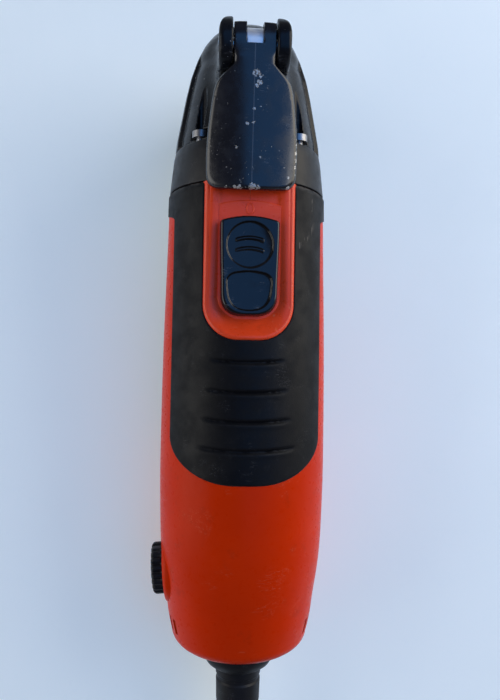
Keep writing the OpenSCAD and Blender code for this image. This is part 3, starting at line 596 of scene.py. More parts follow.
# ---- Cord, coil and plug, in the row's frame ----

CORD_D = 7
COIL_CENTRE = (12, -402)
COIL_TURNS = [[47.5, 40.5, 33.5], [33.5, 40.5, 47.5], [47.5, 40.5, 33.5], [33.5, 40.5]]
PLUG_X = 44
PLUG_Z = 34.29


def on_axis(s):
    return to_row([0, s, 0])[0] / MM


def cord_route():
    """The lead to the floor, the wound coil and the end that goes into the plug, in millimetres."""
    lead = [on_axis(s) for s in (274, 284, 294)]
    lead += [(-1, -309, 22.1), (-5, -321, 19.6), (-12, -333, 15.8), (-19.5, -345, 11.2), (-26.5, -357, 7),
             (-32, -369, 4.1), (-35, -381, 2.8), (-35.5, -393, 2.7)]
    tail = [(29, -440.5, 25.5), (37, -434.5, 29.5), (42, -428, 32.6)]
    tail += [(PLUG_X, y, PLUG_Z) for y in (-422, -415)]
    turns = [(r, FLOOR_Z + CORD_D * (0.5 + layer)) for layer, radii in enumerate(COIL_TURNS) for r in radii]
    steps = 36
    last = steps // 3 - 1
    coil = []
    for i, (r, z) in enumerate(turns):
        next_r, next_z = turns[min(i + 1, len(turns) - 1)]
        for step in range(last if i == len(turns) - 1 else steps):
            share = ease(step / steps, 0.8, 1.0)
            angle = pi + 2 * pi * step / steps
            radius = r + (next_r - r) * share
            coil.append((COIL_CENTRE[0] + radius * cos(angle), COIL_CENTRE[1] + radius * sin(angle),
                         z + (next_z - z) * share))
    return [tuple(p) for p in lead], coil, tail


def power_cord():
    lead, coil, tail = cord_route()
    route = lead + coil + tail
    curve = bpy.data.curves.new("power_cord", "CURVE")
    curve.dimensions = "3D"
    spline = curve.splines.new("BEZIER")
    spline.bezier_points.add(len(route) - 1)
    for point, place in zip(spline.bezier_points, route):
        point.co = Vector(place) * MM
        point.handle_left_type = point.handle_right_type = "AUTO"
    spline.resolution_u = 3
    curve.bevel_depth = CORD_D * MM / 2
    curve.bevel_resolution = 4
    curve.use_fill_caps = True
    obj = add_object("mains_cord", curve)
    curve.materials.append(SLOTS["cord_rubber"])
    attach(obj, "housing")
    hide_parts("power_cord", "cord_coil")
    return obj


def plug():
    def field(x, y, z):
        x, z = x - PLUG_X, z - PLUG_Z
        waist = 17.2 - 2.0 * ease(-y, 394, 408)
        flat = brick(x, y, z, (-17.2, -406, -6.8), (17.2, -386, 6.8), 3.2)
        flat = blend_max(flat, np.abs(x) - waist, 2)
        cone_r = 6.2 - 1.6 * np.clip((-y - 406) / 16, 0, 1)
        cone = blend_max(np.sqrt(x**2 + z**2) - cone_r, slab(y, -422, -398), 1)
        grooves = np.abs((-y - 409.5) % 3.2 - 1.6) - 0.55
        grooves = np.maximum(np.maximum(grooves, slab(-y, 407.8, 420.5)), cone_r - 1.0 - np.sqrt(x**2 + z**2))
        body = blend_max(blend_min(flat, cone, 5), -grooves, 0.4)
        thumb = np.sqrt((x / 1.5) ** 2 + (y + 397) ** 2 + (np.abs(z) - 12.2) ** 2) - 6.6
        return blend_max(body, -thumb, 0.8)
    obj = sculpt("plug", field, (PLUG_X - 17.3, -422, PLUG_Z - 6.9), (PLUG_X + 17.3, -386, PLUG_Z + 6.9), 0.5,
                 in_row=True)
    return finish(obj, "housing", "black_plastic", ["plug_body"], 60)


def plug_pins():
    pins = []
    for side in (-1, 1):
        outline = rounded([(0.001, 0), (2.0, 0), (2.0, 17), (1.98, 17), (1.98, 27), (0.001, 27)], 0.7)
        outline = [(max(r, 0.001), h) for r, h in outline]
        pins.append(turned(f"pin{side}", outline, 24,
                           lambda p, side=side: p + (PLUG_X + 9.3 * side, -394, PLUG_Z), in_row=True))
    return finish(join("plug_contacts", pins), "housing", "steel", ["plug_pins"])


# ---- Housing ----

def around(s, angle, lift):
    """Point on the housing: angle in radians from the top, towards the right; lift outwards."""
    return on_circle(body_r(s) + lift, s, angle)


SCREW_SPOTS = [(24, 158), (-24, 158), (19, 222), (-19, 222)]


def upright(x, s):
    """Places a turned piece upright at (x, s)."""
    return lambda points: points[:, [0, 2, 1]] * (1, -1, 1) + (x, s, 0)


def cylinder_cutter(name, r, low, high, at, steps=48):
    outline = [(0.001, low), (r, low), (r, high), (0.001, high)]
    return turned(name, outline, steps, at)


def dial_frame(points):
    """Points given as (x, height outwards, z) in the dial's seat, to tool millimetres."""
    hinge = Vector(joints["dial_turn"]["pos_m"]) / MM
    y, z = hinge[1], hinge[2]
    s = -(y * cos(TILT) + z * sin(TILT))
    splay = radians(5)
    along, out, across = points[:, 0], points[:, 1], points[:, 2]
    x = hinge[0] - out * cos(splay) - along * sin(splay)
    return np.stack([x, s + out * sin(splay) - along * cos(splay), across], 1)


def boxes(name, spans, at=np.array):
    """Boxes from (x, x, s, s, z, z) spans, in tool millimetres unless at() places them."""
    parts = []
    for i, (x0, x1, s0, s1, z0, z1) in enumerate(spans):
        corners = [(x, s, z) for x in (x0, x1) for s in (s0, s1) for z in (z0, z1)]
        faces = [(0, 1, 3, 2), (4, 6, 7, 5), (0, 4, 5, 1), (2, 3, 7, 6), (0, 2, 6, 4), (1, 5, 7, 3)]
        parts.append(weld(build(f"{name}{i}", at(np.array(corners)), faces)))
    return join(name, parts)


def rear_vents():
    spans = []
    for side in (-1, 1):
        for z in np.arange(-13.5, 14, 4.5):
            spans.append((side * 28 - 7, side * 28 + 7, 222.5, 228.5, z - 1.1, z + 1.1))
    return boxes("vents", spans)


def screw_wells():
    wells = [cylinder_cutter(f"well{x}", 3.4, -40, -14.5, upright(x, s), 32) for x, s in SCREW_SPOTS]
    return join("wells", wells)


def tail_outline():
    """(radius, s) from the last station of the smooth body round the rear rim to the boot."""
    return [(29.0, 230.0), (28.8, 231.2), (28.2, 232.6), (27.3, 233.7), (26.0, 234.7), (24.2, 235.5),
            (21.3, 236.3), (17.5, 236.9), (13.5, 237.35), (11.0, 237.4), (9.7, 237.4)]


def under_grip(s, angle):
    """1 where the casing lies well inside a soft grip's edge, and 0 outside."""
    x = np.abs(body_r(s) * np.sin(angle))
    across = (x - (GRIP_HALF_W - GRIP_REACH)) * GRIP_CORNER / GRIP_REACH
    along = s - GRIP_BEND
    inside = GRIP_CORNER - np.hypot(np.maximum(across, 0), np.maximum(along, 0))
    inside = np.maximum(inside, np.where(s < 55, 5.0, 0.0))
    return ease(inside, 0.9, 1.8)


def casing_shell(name, side):
    front_s, middle_s = np.linspace(JOINT_S + 0.4, 56, 8), np.linspace(56, 215, 150)
    stations = np.concatenate([front_s[:-1], middle_s[:-1], np.linspace(215, 230, 16)])
    half = np.concatenate([[-90, -89.75, -89.3], np.linspace(-88.5, 88.5, 160), [89.3, 89.75, 90]])
    half = np.radians(half)
    s, angle = np.meshgrid(stations, half, indexing="ij")
    seam = 0.15 + 0.55 * (1 - ease(pi / 2 - np.abs(angle), 0, radians(1.4)))
    front = 0.4 * (1 - ease(s, JOINT_S, JOINT_S + 1.2))
    fuller = 0.8 * ease(s, 212, 230)
    body = around(s, angle, fuller - seam - front - 1.7 * under_grip(s, angle))
    tail = [on_circle(r - seam[0], s, half) for r, s in tail_outline()[1:]]
    points = np.concatenate([body, tail])
    points[..., 2] *= side
    shell = thicken(sheet(name, points), 2.2)
    shell = cut(shell, rear_vents())
    return cut(shell, cylinder_cutter("dial_hole", 11.6, -9, 9, dial_frame))


def dial_boss(side):
    """The flat facet round the dial."""
    outline = rounded([(11.1, -5.5), (11.1, -1.75), (13.2, -1.75), (14.4, -2.9), (15.2, -5.5)], 0.5, 3)
    angle = np.linspace(0, pi, 49)
    r, h = outline[:, 0][:, None], outline[:, 1][:, None]
    across = side * r * np.sin(angle)
    points = np.stack([r * np.cos(angle), h + 0 * angle, across], -1)
    boss = sheet(f"boss{side}", points, wrap_rows=True, at=dial_frame)
    bm = bmesh.new()
    bm.from_mesh(boss.data)
    bmesh.ops.holes_fill(bm, edges=[e for e in bm.edges if e.is_boundary])
    bmesh.ops.recalc_face_normals(bm, faces=bm.faces)
    bm.to_mesh(boss.data)
    bm.free()
    return boss


U_HALF_W, U_CORNER, U_END = 17.3, 13.5, 108.0


def resample(points, count):
    points = np.array(points, float)
    reach = np.concatenate([[0], np.cumsum(np.linalg.norm(np.diff(points, axis=0), axis=1))])
    at = np.linspace(0, reach[-1], count)
    return np.stack([np.interp(at, reach, points[:, k]) for k in range(2)], 1)


def arc(centre, r, start, end, steps=24):
    angle = np.radians(np.linspace(start, end, steps))
    return [(centre[0] + r * cos(a), centre[1] + r * sin(a)) for a in angle]


def strip_edge(half, end, corner):
    """Left half of a strip that ends in two round corners: its side, then its bend, as (x, s)."""
    side = [(-half, GRIP_S), (-half, end - corner)]
    bend = arc((corner - half, end - corner), corner, 180, 90)
    return resample(side, 60), resample(bend + [(0.0, end)], 48)


def end_to_end(runs):
    """Joins runs that share their end points."""
    return np.concatenate([run[1 if i else 0:] for i, run in enumerate(runs)])


def whole_edge(half, end, corner):
    return end_to_end(strip_edge(half, end, corner))


def mirror_rows(points):
    right = points[::-1].copy()
    right[..., 0] *= -1
    return np.concatenate([points, right[1:]])


def bed_height(x, s):
    """Height of the housing's round top above the long axis."""
    return np.sqrt(np.maximum(body_r(s) ** 2 - x**2, 1))


LIP_IN = [-0.8, -0.3, 0.0, 0.25, 0.55, 0.95, 1.4, 1.8]
LIP_UP = [-0.9, -0.25, 0.3, 0.55, 0.68, 0.70, 0.58, 0.30]


def slide_surround():
    """Orange lip round the slider, the ramp inside it, and the flat bed."""
    outer = whole_edge(U_HALF_W, U_END, U_CORNER)
    inner = whole_edge(11.75, 99.8, 9.0)
    reach = np.linalg.norm(inner - outer, axis=1)
    rings = []
    for run in LIP_IN + list(np.linspace(0.04, 1, 22)):
        on_lip = len(rings) < len(LIP_IN)
        share = run / reach if on_lip else (LIP_IN[-1] + (reach - LIP_IN[-1]) * run) / reach
        x, s = (outer + (inner - outer) * share[:, None]).T
        if on_lip:
            z = bed_height(x, s) + LIP_UP[len(rings)]
        else:
            fall = 1 - (1 - run) ** 1.35
            z = (bed_height(x, s) + LIP_UP[-1]) * (1 - fall) + BED_Z * fall
        rings.append(np.stack([x, s, z], -1))
    for half in (11.3, 9.5, 7.5, 5, 2.5, 0.5):
        x, s = whole_edge(half, 99.4 - (11.3 - half), min(8.6, half)).T
        rings.append(np.stack([x, s, BED_Z - 0.3 + 0 * x], -1))
    points = mirror_rows(np.swapaxes(np.array(rings), 0, 1))
    floor = mirror_rows(np.stack([rings[-1], rings[-1] * (0.1, 1, 1)], 1))
    obj = join("surround", [sheet("ramp", points), sheet("bed_strip", floor)])
    return thicken(weld(obj, 0.01, outward=False), 1.4)


def surround_cutter():
    """Prism that opens the shell under the lip and the ramp."""
    edge = mirror_rows(whole_edge(U_HALF_W - 0.9, U_END - 0.9, U_CORNER - 0.9))
    edge[[0, -1], 1] = 40
    rows = np.stack([np.column_stack([edge, np.full(len(edge), z)]) for z in (25.0, 40.0)])
    walls = sheet("window_walls", rows, wrap_columns=True)
    caps = build("window_caps", rows, [list(range(len(edge))), list(range(len(edge), 2 * len(edge)))])
    return weld(join("window", [walls, caps]))


def track_plate():
    """Raised plate with an arched front that the slider runs on."""
    half, end, corner = 12.3, 100.4, 8.6
    x = np.linspace(-half, half, 61)
    front = 54.6 + 1.9 * (x / half) ** 2
    back = end - corner + np.sqrt(np.maximum(corner**2 - np.maximum(np.abs(x) - half + corner, 0) ** 2, 0))

    def row(inset, s, lift):
        return np.stack([x * (half - inset) / half, s, BED_Z + lift + 0 * x], -1)
    edge = ((0.0, -0.6), (0.0, 0.02), (0.18, 0.16), (0.5, 0.2))
    rows = [row(inset, front + inset, lift) for inset, lift in edge]
    rows += [row(0.5, front + (back - front) * share, 0.2) for share in np.linspace(0.02, 0.98, 60)]
    rows += [row(0.4, back, 0.1), row(0.0, back + 0.2, -0.6)]
    return thicken(weld(sheet("track_plate", np.array(rows)), 0.01, outward=False), 0.5)


def off_mark():
    """A raised 0 in front of the slider."""
    height = BED_Z + 0.2
    angle = np.linspace(0, 2 * pi, 48, endpoint=False)
    ring = np.linspace(0, 2 * pi, 10, endpoint=False)
    cx, cs = 1.35 * np.cos(angle), 57.9 + 2.0 * np.sin(angle)
    tube_r = 0.30
    x = cx[:, None] + tube_r * np.outer(np.cos(angle), np.cos(ring))
    s = cs[:, None] + tube_r * np.outer(np.sin(angle), np.cos(ring))
    points = np.stack([x, s, height + 0.9 * tube_r * np.sin(ring) + 0 * x], -1)
    return sheet("off_mark", points, wrap_rows=True, wrap_columns=True)


def casings():
    upper = casing_shell("upper_shell", 1)
    upper = cut(upper, surround_cutter())
    upper = join("upper_housing", [upper, dial_boss(1)])
    finish(upper, "housing", "casing", ["upper_casing"])
    for piece in (slide_surround(), track_plate(), off_mark()):
        # The surround, track plate and 0 mark take the brighter orange copy: painted light, not a different
        # plastic.
        finish(piece, "housing", "casing", angle=50, material=LIT_ORANGE_COPY)
    lower = cut(casing_shell("lower_shell", -1), screw_wells())
    tubes = []
    for x, s in SCREW_SPOTS:
        low = -sqrt(float(body_r(s)) ** 2 - (abs(x) - 3) ** 2) + 5
        outline = [(3.4, low), (4.6, low), (4.6, -13.2), (1.9, -13.2), (1.9, -14.4), (3.4, -14.4)]
        tubes.append(turned(f"tube{x}", outline, 32, upright(x, s)))
    lower = join("lower_housing", [lower, dial_boss(-1)] + tubes)
    finish(lower, "housing", "casing", ["lower_casing"])


# ---- Soft grips ----

GROOVES = [(115.8, 15.0), (127.2, 16.3), (138.4, 17.8), (149.4, 19.4)]


def groove_depth(x, s):
    """Depth of the cross grooves, each with a faint ridge behind it."""
    depth = 0.0
    for middle, half in GROOVES:
        behind = s - middle - 0.9 * (1 - (x / half) ** 2)
        groove = 0.85 * np.exp(-((behind / 0.62) ** 2))
        ridge = 0.12 * np.exp(-((behind - 1.6) ** 2))
        depth = depth + ease(half - np.abs(x), 0, 5) * (groove - ridge)
    return depth


def side_angle(s):
    return asin(GRIP_HALF_W / float(body_r(s)))


def grip_outer():
    """Left half of the grip's edge as (angle, s), from the front joint to the rear middle, in four runs."""
    side = side_angle(60)
    bend = [(-pi / 2 + (pi / 2 - side) * ease(t, 0, 1), 55.0 + 5.0 * t) for t in np.linspace(0, 1, 14)]
    corner = arc((-(GRIP_HALF_W - GRIP_CORNER), GRIP_BEND), GRIP_CORNER, 180, 90)
    wide = [(-GRIP_HALF_W + (x + GRIP_HALF_W) * GRIP_REACH / GRIP_CORNER, s) for x, s in corner]
    rear = [(-asin(min(-x / float(body_r(s)), 1)), s) for x, s in wide]
    flank = [(-side_angle(s), s) for s in np.linspace(120, GRIP_BEND, 12)]
    return (
        [(-pi / 2, GRIP_S), (-pi / 2, 55.0)],
        bend,
        [(-side_angle(s), s) for s in np.linspace(60, 120, 30)],
        flank + rear + [(-1e-4, GRIP_END)],
    )


def edge_roll(distance):
    """Height of a moulded edge: sunk at the edge and rising over the first millimetre."""
    return np.sqrt(np.clip(1 - (1 - np.clip(distance / 0.9, 0, 1)) ** 2, 0, 1)) - 0.75


def upper_grip():
    runs = grip_outer()
    counts = (8, 14, 44, 60)
    scale = np.array([BODY_R, 1])
    outer = [resample(np.array(run) * scale, n) / scale for run, n in zip(runs, counts)]
    bend = strip_edge(U_HALF_W, U_END, U_CORNER)[1]
    cuts = [(GRIP_S, 56.0), (56.0, 62.0), (62.0, U_END - U_CORNER)]
    inner = [resample([(-U_HALF_W, a), (-U_HALF_W, b)], n) for (a, b), n in zip(cuts, counts)]
    inner.append(resample(bend, counts[3]))
    outer, inner = end_to_end(outer), end_to_end(inner)
    inner_angle = np.arcsin(np.clip(inner[:, 0] / body_r(inner[:, 1]), -1, 1))
    inner = np.stack([inner_angle, inner[:, 1]], 1)
    edge = np.array([0, 0.003, 0.008, 0.014])
    share = np.concatenate([edge, np.linspace(0.022, 0.978, 110), 1 - edge[::-1]])
    gap = np.linalg.norm((outer - inner) * scale, axis=1)
    lines = inner[:, None] + (outer - inner)[:, None] * share[None, :, None]
    angle, s = lines[..., 0], lines[..., 1]
    distance = np.minimum(share, 1 - share)[None, :] * gap[:, None]
    front = s - GRIP_S
    seam = (pi / 2 - np.abs(angle)) * BODY_R
    distance = np.minimum(np.minimum(distance, front), seam + 0.35)
    x = body_r(s) * np.sin(angle)
    left = around(s, angle, edge_roll(distance) - groove_depth(x, s))
    points = mirror_rows(left)
    obj = weld(sheet("upper_soft_grip", points), 0.01, outward=False)
    finish(thicken(obj, 1.1), "housing", "soft_grip", ["upper_grip"], 50)


def lower_grip():
    bend = np.linspace(55.0, 60.0, 14)
    corner = GRIP_BEND + GRIP_CORNER * np.sin(np.linspace(0, pi / 2, 24))
    front_edge = GRIP_S + np.array([0, 0.1, 0.3, 0.6, 1.0])
    flank = np.linspace(61, GRIP_BEND, 110)
    stations = np.concatenate([front_edge, np.linspace(49.5, 55, 8)[:-1], bend, flank[:-1], corner])
    share = np.sin(np.linspace(-pi / 2, pi / 2, 141))
    rows = []
    for s in stations:
        side = side_angle(min(max(s, 60), GRIP_BEND))
        half = pi / 2 - (pi / 2 - side) * float(ease(s, 55.0, 60.0))
        if s > GRIP_BEND:
            run = s - GRIP_BEND
            reach = GRIP_REACH / GRIP_CORNER * sqrt(max(GRIP_CORNER**2 - run**2, 0))
            half = asin((GRIP_HALF_W - GRIP_REACH + reach) / float(body_r(s)))
        angle = share * half
        distance = np.minimum((1 - np.abs(share)) * half * BODY_R, min(s - GRIP_S, GRIP_END - s))
        if s < 55:
            distance = np.maximum(distance, min(0.35, s - GRIP_S))
        x = body_r(s) * np.sin(angle)
        point = around(s + 0 * angle, angle, edge_roll(distance) - groove_depth(x, s + 0 * x))
        point[..., 2] *= -1
        rows.append(point)
    obj = thicken(sheet("lower_soft_grip", np.array(rows)), 1.1)
    holes = [cylinder_cutter(f"hole{x}", 3.9, -40, -14, upright(x, s), 32) for x, s in SCREW_SPOTS[1::-1]]
    obj = cut(obj, join("holes", holes))
    finish(obj, "housing", "soft_grip", ["lower_grip"], 50)


# ---- Collar and gear head ----

HEAD_OUTLINE = [(-24, 0.0), (-23.5, 6.5), (-21.7, 12), (-18.3, 17), (-14.5, 19.8), (-9.5, 22.2), (-1.5, 24.9),
                (6, 26.6), (14, 28.1), (21, 29.4), (26, 30.3), (30, 30.7)]
EAR_HALF_W = 13.1
HEAD_SCREW_OUT = 19.4


def collar():
    outline = rounded([(28.3, 30.2), (30.6, 30.2), (31.3, 33.5), (32.75, 47.3), (28.3, 47.3)], 0.55)
    obj = turned("front_collar", outline, 144)
    finish(obj, "housing", "head_paint", ["head_collar"], material=SLOTS["black_plastic"])


def gear_head():
    place, radius = np.array(HEAD_OUTLINE).T

    def field(x, s, z):
        r, wide = np.hypot(x, z), np.abs(x)
        from_spindle = np.hypot(x, s)
        from_pin = np.hypot(s, z - PIVOT_Z)
        outline = np.sqrt(np.interp(s, place, radius**2))
        lean = np.clip(0.35 + (s + 24) / 30, 0.3, 1)
        side = np.degrees(np.arctan2(wide, z))
        panel = ease(side, 24, 30) * (1 - ease(side, 70, 75)) * ease(s, -13, -5)
        body = np.maximum((r - outline + 1.5 * panel) * lean, -24 - s)
        neck_r = np.where(z < -32, 19.0, 18.7)
        neck = blend_max(from_spindle - neck_r, slab(z, -40, 0), 0.8)
        pedestal = brick(x, s, z, (-EAR_HALF_W, -9.2, 10), (EAR_HALF_W, 8.2, 36), 2.0)
        ears = blend_max(from_pin - 9.25, wide - EAR_HALF_W, 2.0)
        ears = np.maximum(ears, blend_max(wide - EAR_HALF_W, -s - 9.2, 9.0))
        deck = blend_max(blend_max(wide - EAR_HALF_W, r - 33.0, 1.5), slab(s, 4, 29.9), 1.0)
        top = blend_min(blend_min(pedestal, ears, 1.5), deck, 1.5)
        head = blend_min(blend_min(body, neck, 4.0), top, 4.5)
        head = blend_max(head, s - 29.9, 0.8)
        slot = blend_max(wide - 8.0, slab(s, -30, 9.7), 0.6)
        slot = blend_max(slot, 28.7 - z, 0.8)
        head = blend_max(head, -slot, 0.8)
        from_screw = np.hypot(wide - HEAD_SCREW_OUT, np.abs(z) - HEAD_SCREW_OUT)
        pocket = np.maximum(from_screw - 4.3, slab(s, 25.6, 28.6))
        head = blend_max(head, -pocket, 0.8)
        rod_way = np.maximum(from_spindle - 3.4, 20 - z)
        seal_seat = np.maximum(from_spindle - 12.4, z + 36)
        pin_way = np.maximum(from_pin - PIN_WAY_R, 30 - z)
        inside = np.maximum(from_spindle - 10.3, np.abs(z + 10) - 29)
        for hollow in (from_screw - 2.1, rod_way, seal_seat, pin_way, inside):
            head = np.maximum(head, -hollow)
        return head
    obj = sculpt("head_casting", field, (-31, -24.2, -40), (31, 30, 47.5), 0.5)
    mark_chips(obj, [(-15, -4, 44, 1.0), (-14.6, 6, 44.5, 0.8), (13.5, -7, 43.5, 1.3), (15, -2, 42, 0.8),
                     (-30, 22, 3, 0.8)])
    finish(obj, "housing", "head_paint", ["gear_head"], 60)


def mark_chips(obj, spots):
    """Writes how close each point is to a chip: (x, s, z, radius), 1 inside and 0 outside."""
    points = np.array([vertex.co for vertex in obj.data.vertices])
    near = np.zeros(len(points))
    for x, s, z, r in spots:
        distance = np.linalg.norm(points - to_row([x, s, z])[0], axis=1) / MM
        near = np.maximum(near, np.clip(1.6 - distance / r, 0, 1))
    obj.data.attributes.new("chips", "FLOAT", "POINT").data.foreach_set("value", near)


# ---- Clamp lever ----

LEVER_TOP = [(0, 45.4), (7, 45.0), (13, 43.9), (25, 41.6), (38, 39.1), (49, 37.1), (53.2, 36.3)]
LEVER_HALF_W = [(-20, 7.5), (8.6, 7.5), (9.3, 7.9), (13.0, 12.0), (13.9, 12.9), (15.2, 13.8), (18, 14.7),
                (21.7, 15.3), (26, 15.95), (30.5, 16.5), (35, 16.9), (39, 17.1), (60, 17.1)]


def clamp_lever():
    top_s, top_r = np.array(LEVER_TOP).T
    plan_s, plan_w = np.array(LEVER_HALF_W).T

    def field(x, s, z):
        r, wide = np.hypot(x, z), np.abs(x)
        from_pin = np.hypot(s, z - PIVOT_Z)
        past_plan = wide - np.interp(s, plan_s, plan_w)
        plan = blend_max(past_plan, s - 52.1 + 1.2 * (x / 17.1) ** 2, 5.5)
        plan = np.where(s < 20, past_plan * 0.75, plan)
        top = r - np.interp(s, top_s, top_r)
        plate = blend_max(blend_max(plan, top, 1.4), 33.9 - r, 0.8)
        plate = blend_max(plate, -s - 5.2, 1.0)
        plate = np.maximum(plate, np.where(s < 0, wide - 7.5, -9))
        plate = np.maximum(plate, from_pin * (s < 0) - 8.95)
        barrel = blend_max(from_pin - 7.55, wide - 7.55, 0.7)
        lever = blend_min(plate, barrel, 2.0)
        lever = blend_max(lever, np.where(wide > 7.6, 9.95 - from_pin, -9), 0.3)
        pocket = blend_max(np.maximum(wide - 12, slab(s, 16, 49)), top + 2.9, 1.2)
        ribs = np.minimum(np.abs(wide - 5) - 0.7, np.abs(s - 33) - 0.7)
        lever = blend_max(lever, -np.maximum(pocket, -ribs), 0.6)
        window = np.maximum(np.maximum(wide - 3.1, slab(s, -9, 2.4)), 29 - z)
        rod_gap = np.maximum(np.maximum(wide - 3.15, slab(s, -9, 9)), slab(z, 20, 34.5))
        cam_room = np.maximum(np.hypot(s, z - 38.8) - 5.95, wide - 3.15)
        for hollow in (window, rod_gap, cam_room, from_pin - PIN_WAY_R):
            lever = np.maximum(lever, -hollow)
        return lever
    obj = sculpt("quick_lever", field, (-17.3, -7.7, 30), (17.3, 52.5, 46), 0.36)
    chips = [(0.6, 12.5, 44, 1.1), (2.4, 13.4, 44, 0.7), (2.0, 15.5, 43.6, 0.9), (0.9, 16.7, 43.4, 0.6),
             (0.2, 24.5, 41.8, 0.45), (0.1, 29.0, 40.9, 0.5), (-2.2, 29.5, 40.7, 0.55), (3, 41.0, 38.6, 0.4),
             (-6, 37.5, 38.7, 0.45), (0.5, 51.6, 36.6, 1.5), (2.2, 51.7, 36.5, 0.9), (-4.5, 51.7, 36.1, 1.0),
             (-6.3, 51.6, 36, 0.7), (13.8, 47.0, 34.8, 0.5), (7, -6, 41.5, 0.6), (5.2, -5, 42.6, 0.8),
             (-9.5, 51, 35, 0.5), (14.2, 51, 33.8, 1.0)]
    chips += [(16.9, s, 37.5 - 0.1 * (s - 14), 0.75) for s in np.arange(14.5, 46, 2.6)]
    mark_chips(obj, chips)
    finish(obj, "lever", "lever_paint", ["clamp_lever"], 60)


# ---- Slide switch and dial ----

def slide_switch():
    def field(x, s, z):
        half = 11.4 - 0.55 * ease(s, 66, 92)
        plan = blend_max(np.abs(x) - half, s - 99.2, 8.5)
        plan = blend_max(plan, 61.0 + 2.0 * (x / 11.4) ** 2 - s, 1.0)
        lean = 0.22 * np.maximum(z - 31.5, 0)
        button = blend_max(plan + lean, slab(z, BED_Z + 0.6, SLIDER_TOP), 0.8)
        dish = np.sqrt(x**2 + (s - 72.4) ** 2)
        floor = SLIDER_TOP - 1.5 + 0.010 * dish**2 + 0.05 * (s - 72.4)
        dish = blend_max(dish - 8.8, floor - z, 0.5)
        taper = 8.8 - 0.11 * np.maximum(s - 85, 0)
        second = blend_max(np.abs(x) - taper, s - 97.1, 7)
        second = blend_max(second, 82.3 + 1.6 * (x / 8.8) ** 2 - s, 3.5)
        floor = SLIDER_TOP - 1.5 + 0.007 * (x**2 + (s - 90) ** 2) + 0.04 * (s - 90)
        second = blend_max(second, floor - z, 0.5)
        button = blend_max(blend_max(button, -dish, 0.35), -second, 0.35)
        for rib in (69.6, 73.6):
            bow = rib + 0.9 * (x / 5) ** 2
            ridge = np.sqrt((s - bow) ** 2 + ((z - SLIDER_TOP + 1.5) * 0.8) ** 2) - 0.62
            ridge = np.maximum(ridge, np.abs(x) - 5.2)
            button = blend_min(button, ridge, 0.4)
        stem = brick(x, s, z, (-3, 78, 26.9), (3, 83, BED_Z + 1), 0.3)
        return np.minimum(button, stem)
    obj = sculpt("slide_button", field, (-11.6, 60.8, 26.8), (11.6, 99.4, SLIDER_TOP + 0.2), 0.3)
    finish(obj, "slider", "gloss_plastic", ["slide_switch"], 60)


def speed_dial():
    lobes = 20
    angle = np.linspace(0, 2 * pi, 240, endpoint=False)
    ridge = 0.5 + 0.5 * np.cos(lobes * angle)
    profile = [(0.01, -2.3, 0), (10.0, -2.3, 0), (10.4, -2.0, 0), (10.4, -1.7, 0), (10.55, -1.4, 0.3),
               (10.6, -0.8, 1), (10.6, 1.8, 1), (10.35, 2.6, 1), (9.6, 3.1, 0.8), (8.7, 3.15, 0.2),
               (8.3, 2.9, 0), (7.9, 2.7, 0), (3.0, 2.6, 0), (0.01, 2.6, 0)]
    rows = []
    for r, h, depth in profile:
        radius = np.maximum(r - depth * 1.15 * (1 - ridge) ** 1.6, 0.01)
        rows.append(on_circle(radius, h, angle))
    dial = sheet("dial", np.array(rows), wrap_columns=True, at=dial_frame)
    pointer = boxes("pointer", [(-0.5, 0.5, 2.4, 3.05, 3.5, 7.6)], dial_frame)
    finish(join("thumb_dial", [weld(dial), pointer]), "dial", "black_plastic", ["speed_dial"], 40)


# ---- Boot and clamp bolt ----

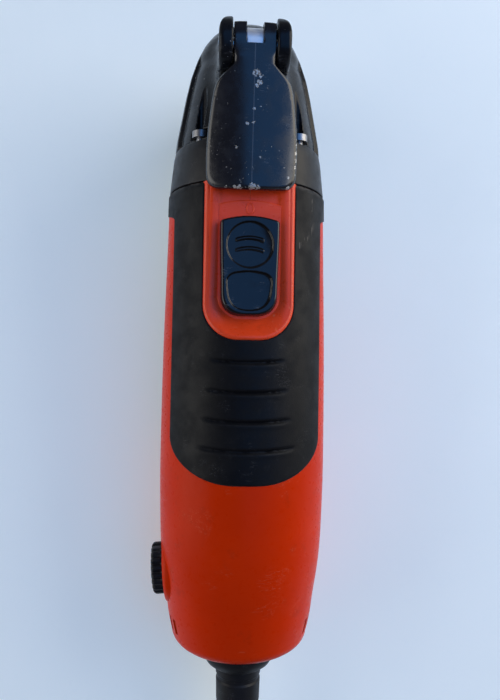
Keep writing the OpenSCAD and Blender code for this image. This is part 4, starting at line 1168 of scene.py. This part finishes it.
def cord_boot():
    ribs = []
    for s in np.arange(265.5, 291, 3.4):
        outer = float(np.interp(s, [264, 278, 294], [9.1, 7.2, 5.4]))
        ribs += [(outer, s), (outer - 0.1, s + 2.1), (outer - 1.25, s + 2.35), (outer - 1.3, s + 3.15)]
    flange = [(15.4, 237.6), (15.7, 238.2), (15.7, 240.5), (15.2, 242.6), (13.8, 244.9), (11.6, 246.6),
              (9.9, 247.4)]
    neck = [(9.6, 250.6), (9.1, 251.2), (9.0, 252.6), (9.5, 253.4), (9.5, 254.2), (9.3, 262), (8.8, 262.4),
            (8.8, 263.2), (9.15, 263.8)]
    outline = [(3.7, 235), (9.4, 235), (9.4, 237.6)] + flange + neck + ribs + [(5.3, 294), (3.7, 294)]
    obj = turned("strain_relief", outline, 72)
    finish(obj, "housing", "cord_rubber", ["cord_boot"], 28)


def clamp_bolt():
    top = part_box("clamp_bolt")[1][2] / MM / cos(TILT) - AXIS_H - 0.3

    def field(x, s, z):
        r = np.hypot(x, s)
        head = blend_max(r - (BOLT_R - 0.05), slab(z, -52, -46.65), 1.0)
        knurl = 0.16 * np.cos(24 * np.arctan2(x, s)) * (np.abs(z + 49.2) < 2.0)
        shank = blend_max(r - 4.95, slab(z, -50, top), 0.5)
        rings = np.maximum(np.abs((z + 30) % 1.6 - 0.8) - 0.3, slab(z, -26, top - 1.5))
        shank = np.maximum(shank, -np.maximum(rings, 4.4 - r))
        across = np.maximum(np.abs(0.5 * x + 0.866 * s), np.abs(0.5 * x - 0.866 * s))
        hexagon = np.maximum(np.abs(x), across) - 3.0
        socket = np.maximum(hexagon, z + 49)
        dished = np.sqrt(r**2 + (z + 70) ** 2) - 18.6
        return np.maximum(blend_max(blend_min(head - knurl, shank, 0.8), -socket, 0.3), -dished)
    obj = sculpt("quick_bolt", field, (-9.8, -9.8, -52), (9.8, 9.8, top), 0.35)
    finish(obj, "clamp_bolt", "steel", ["clamp_bolt"], 50)


studio()
cord = power_cord()
plug_body = plug()
pins = plug_pins()
casings()
upper_grip()
lower_grip()
collar()
gear_head()
clamp_lever()
slide_switch()
speed_dial()
cord_boot()
clamp_bolt()


def dress_cad_nodes():
    """Gives each carried-over CAD node its slot's finish."""
    for part in frame["record"]["subparts"]:
        materials = frame["nodes"][part["node"]].data.materials
        materials.clear()
        own = {"lever_cam": CAM_STEEL, "gear_head_screws": SLOTS["dark_steel"]}
        materials.append(own.get(part["node"], SLOTS[part["material_slot"]]))


dress_cad_nodes()
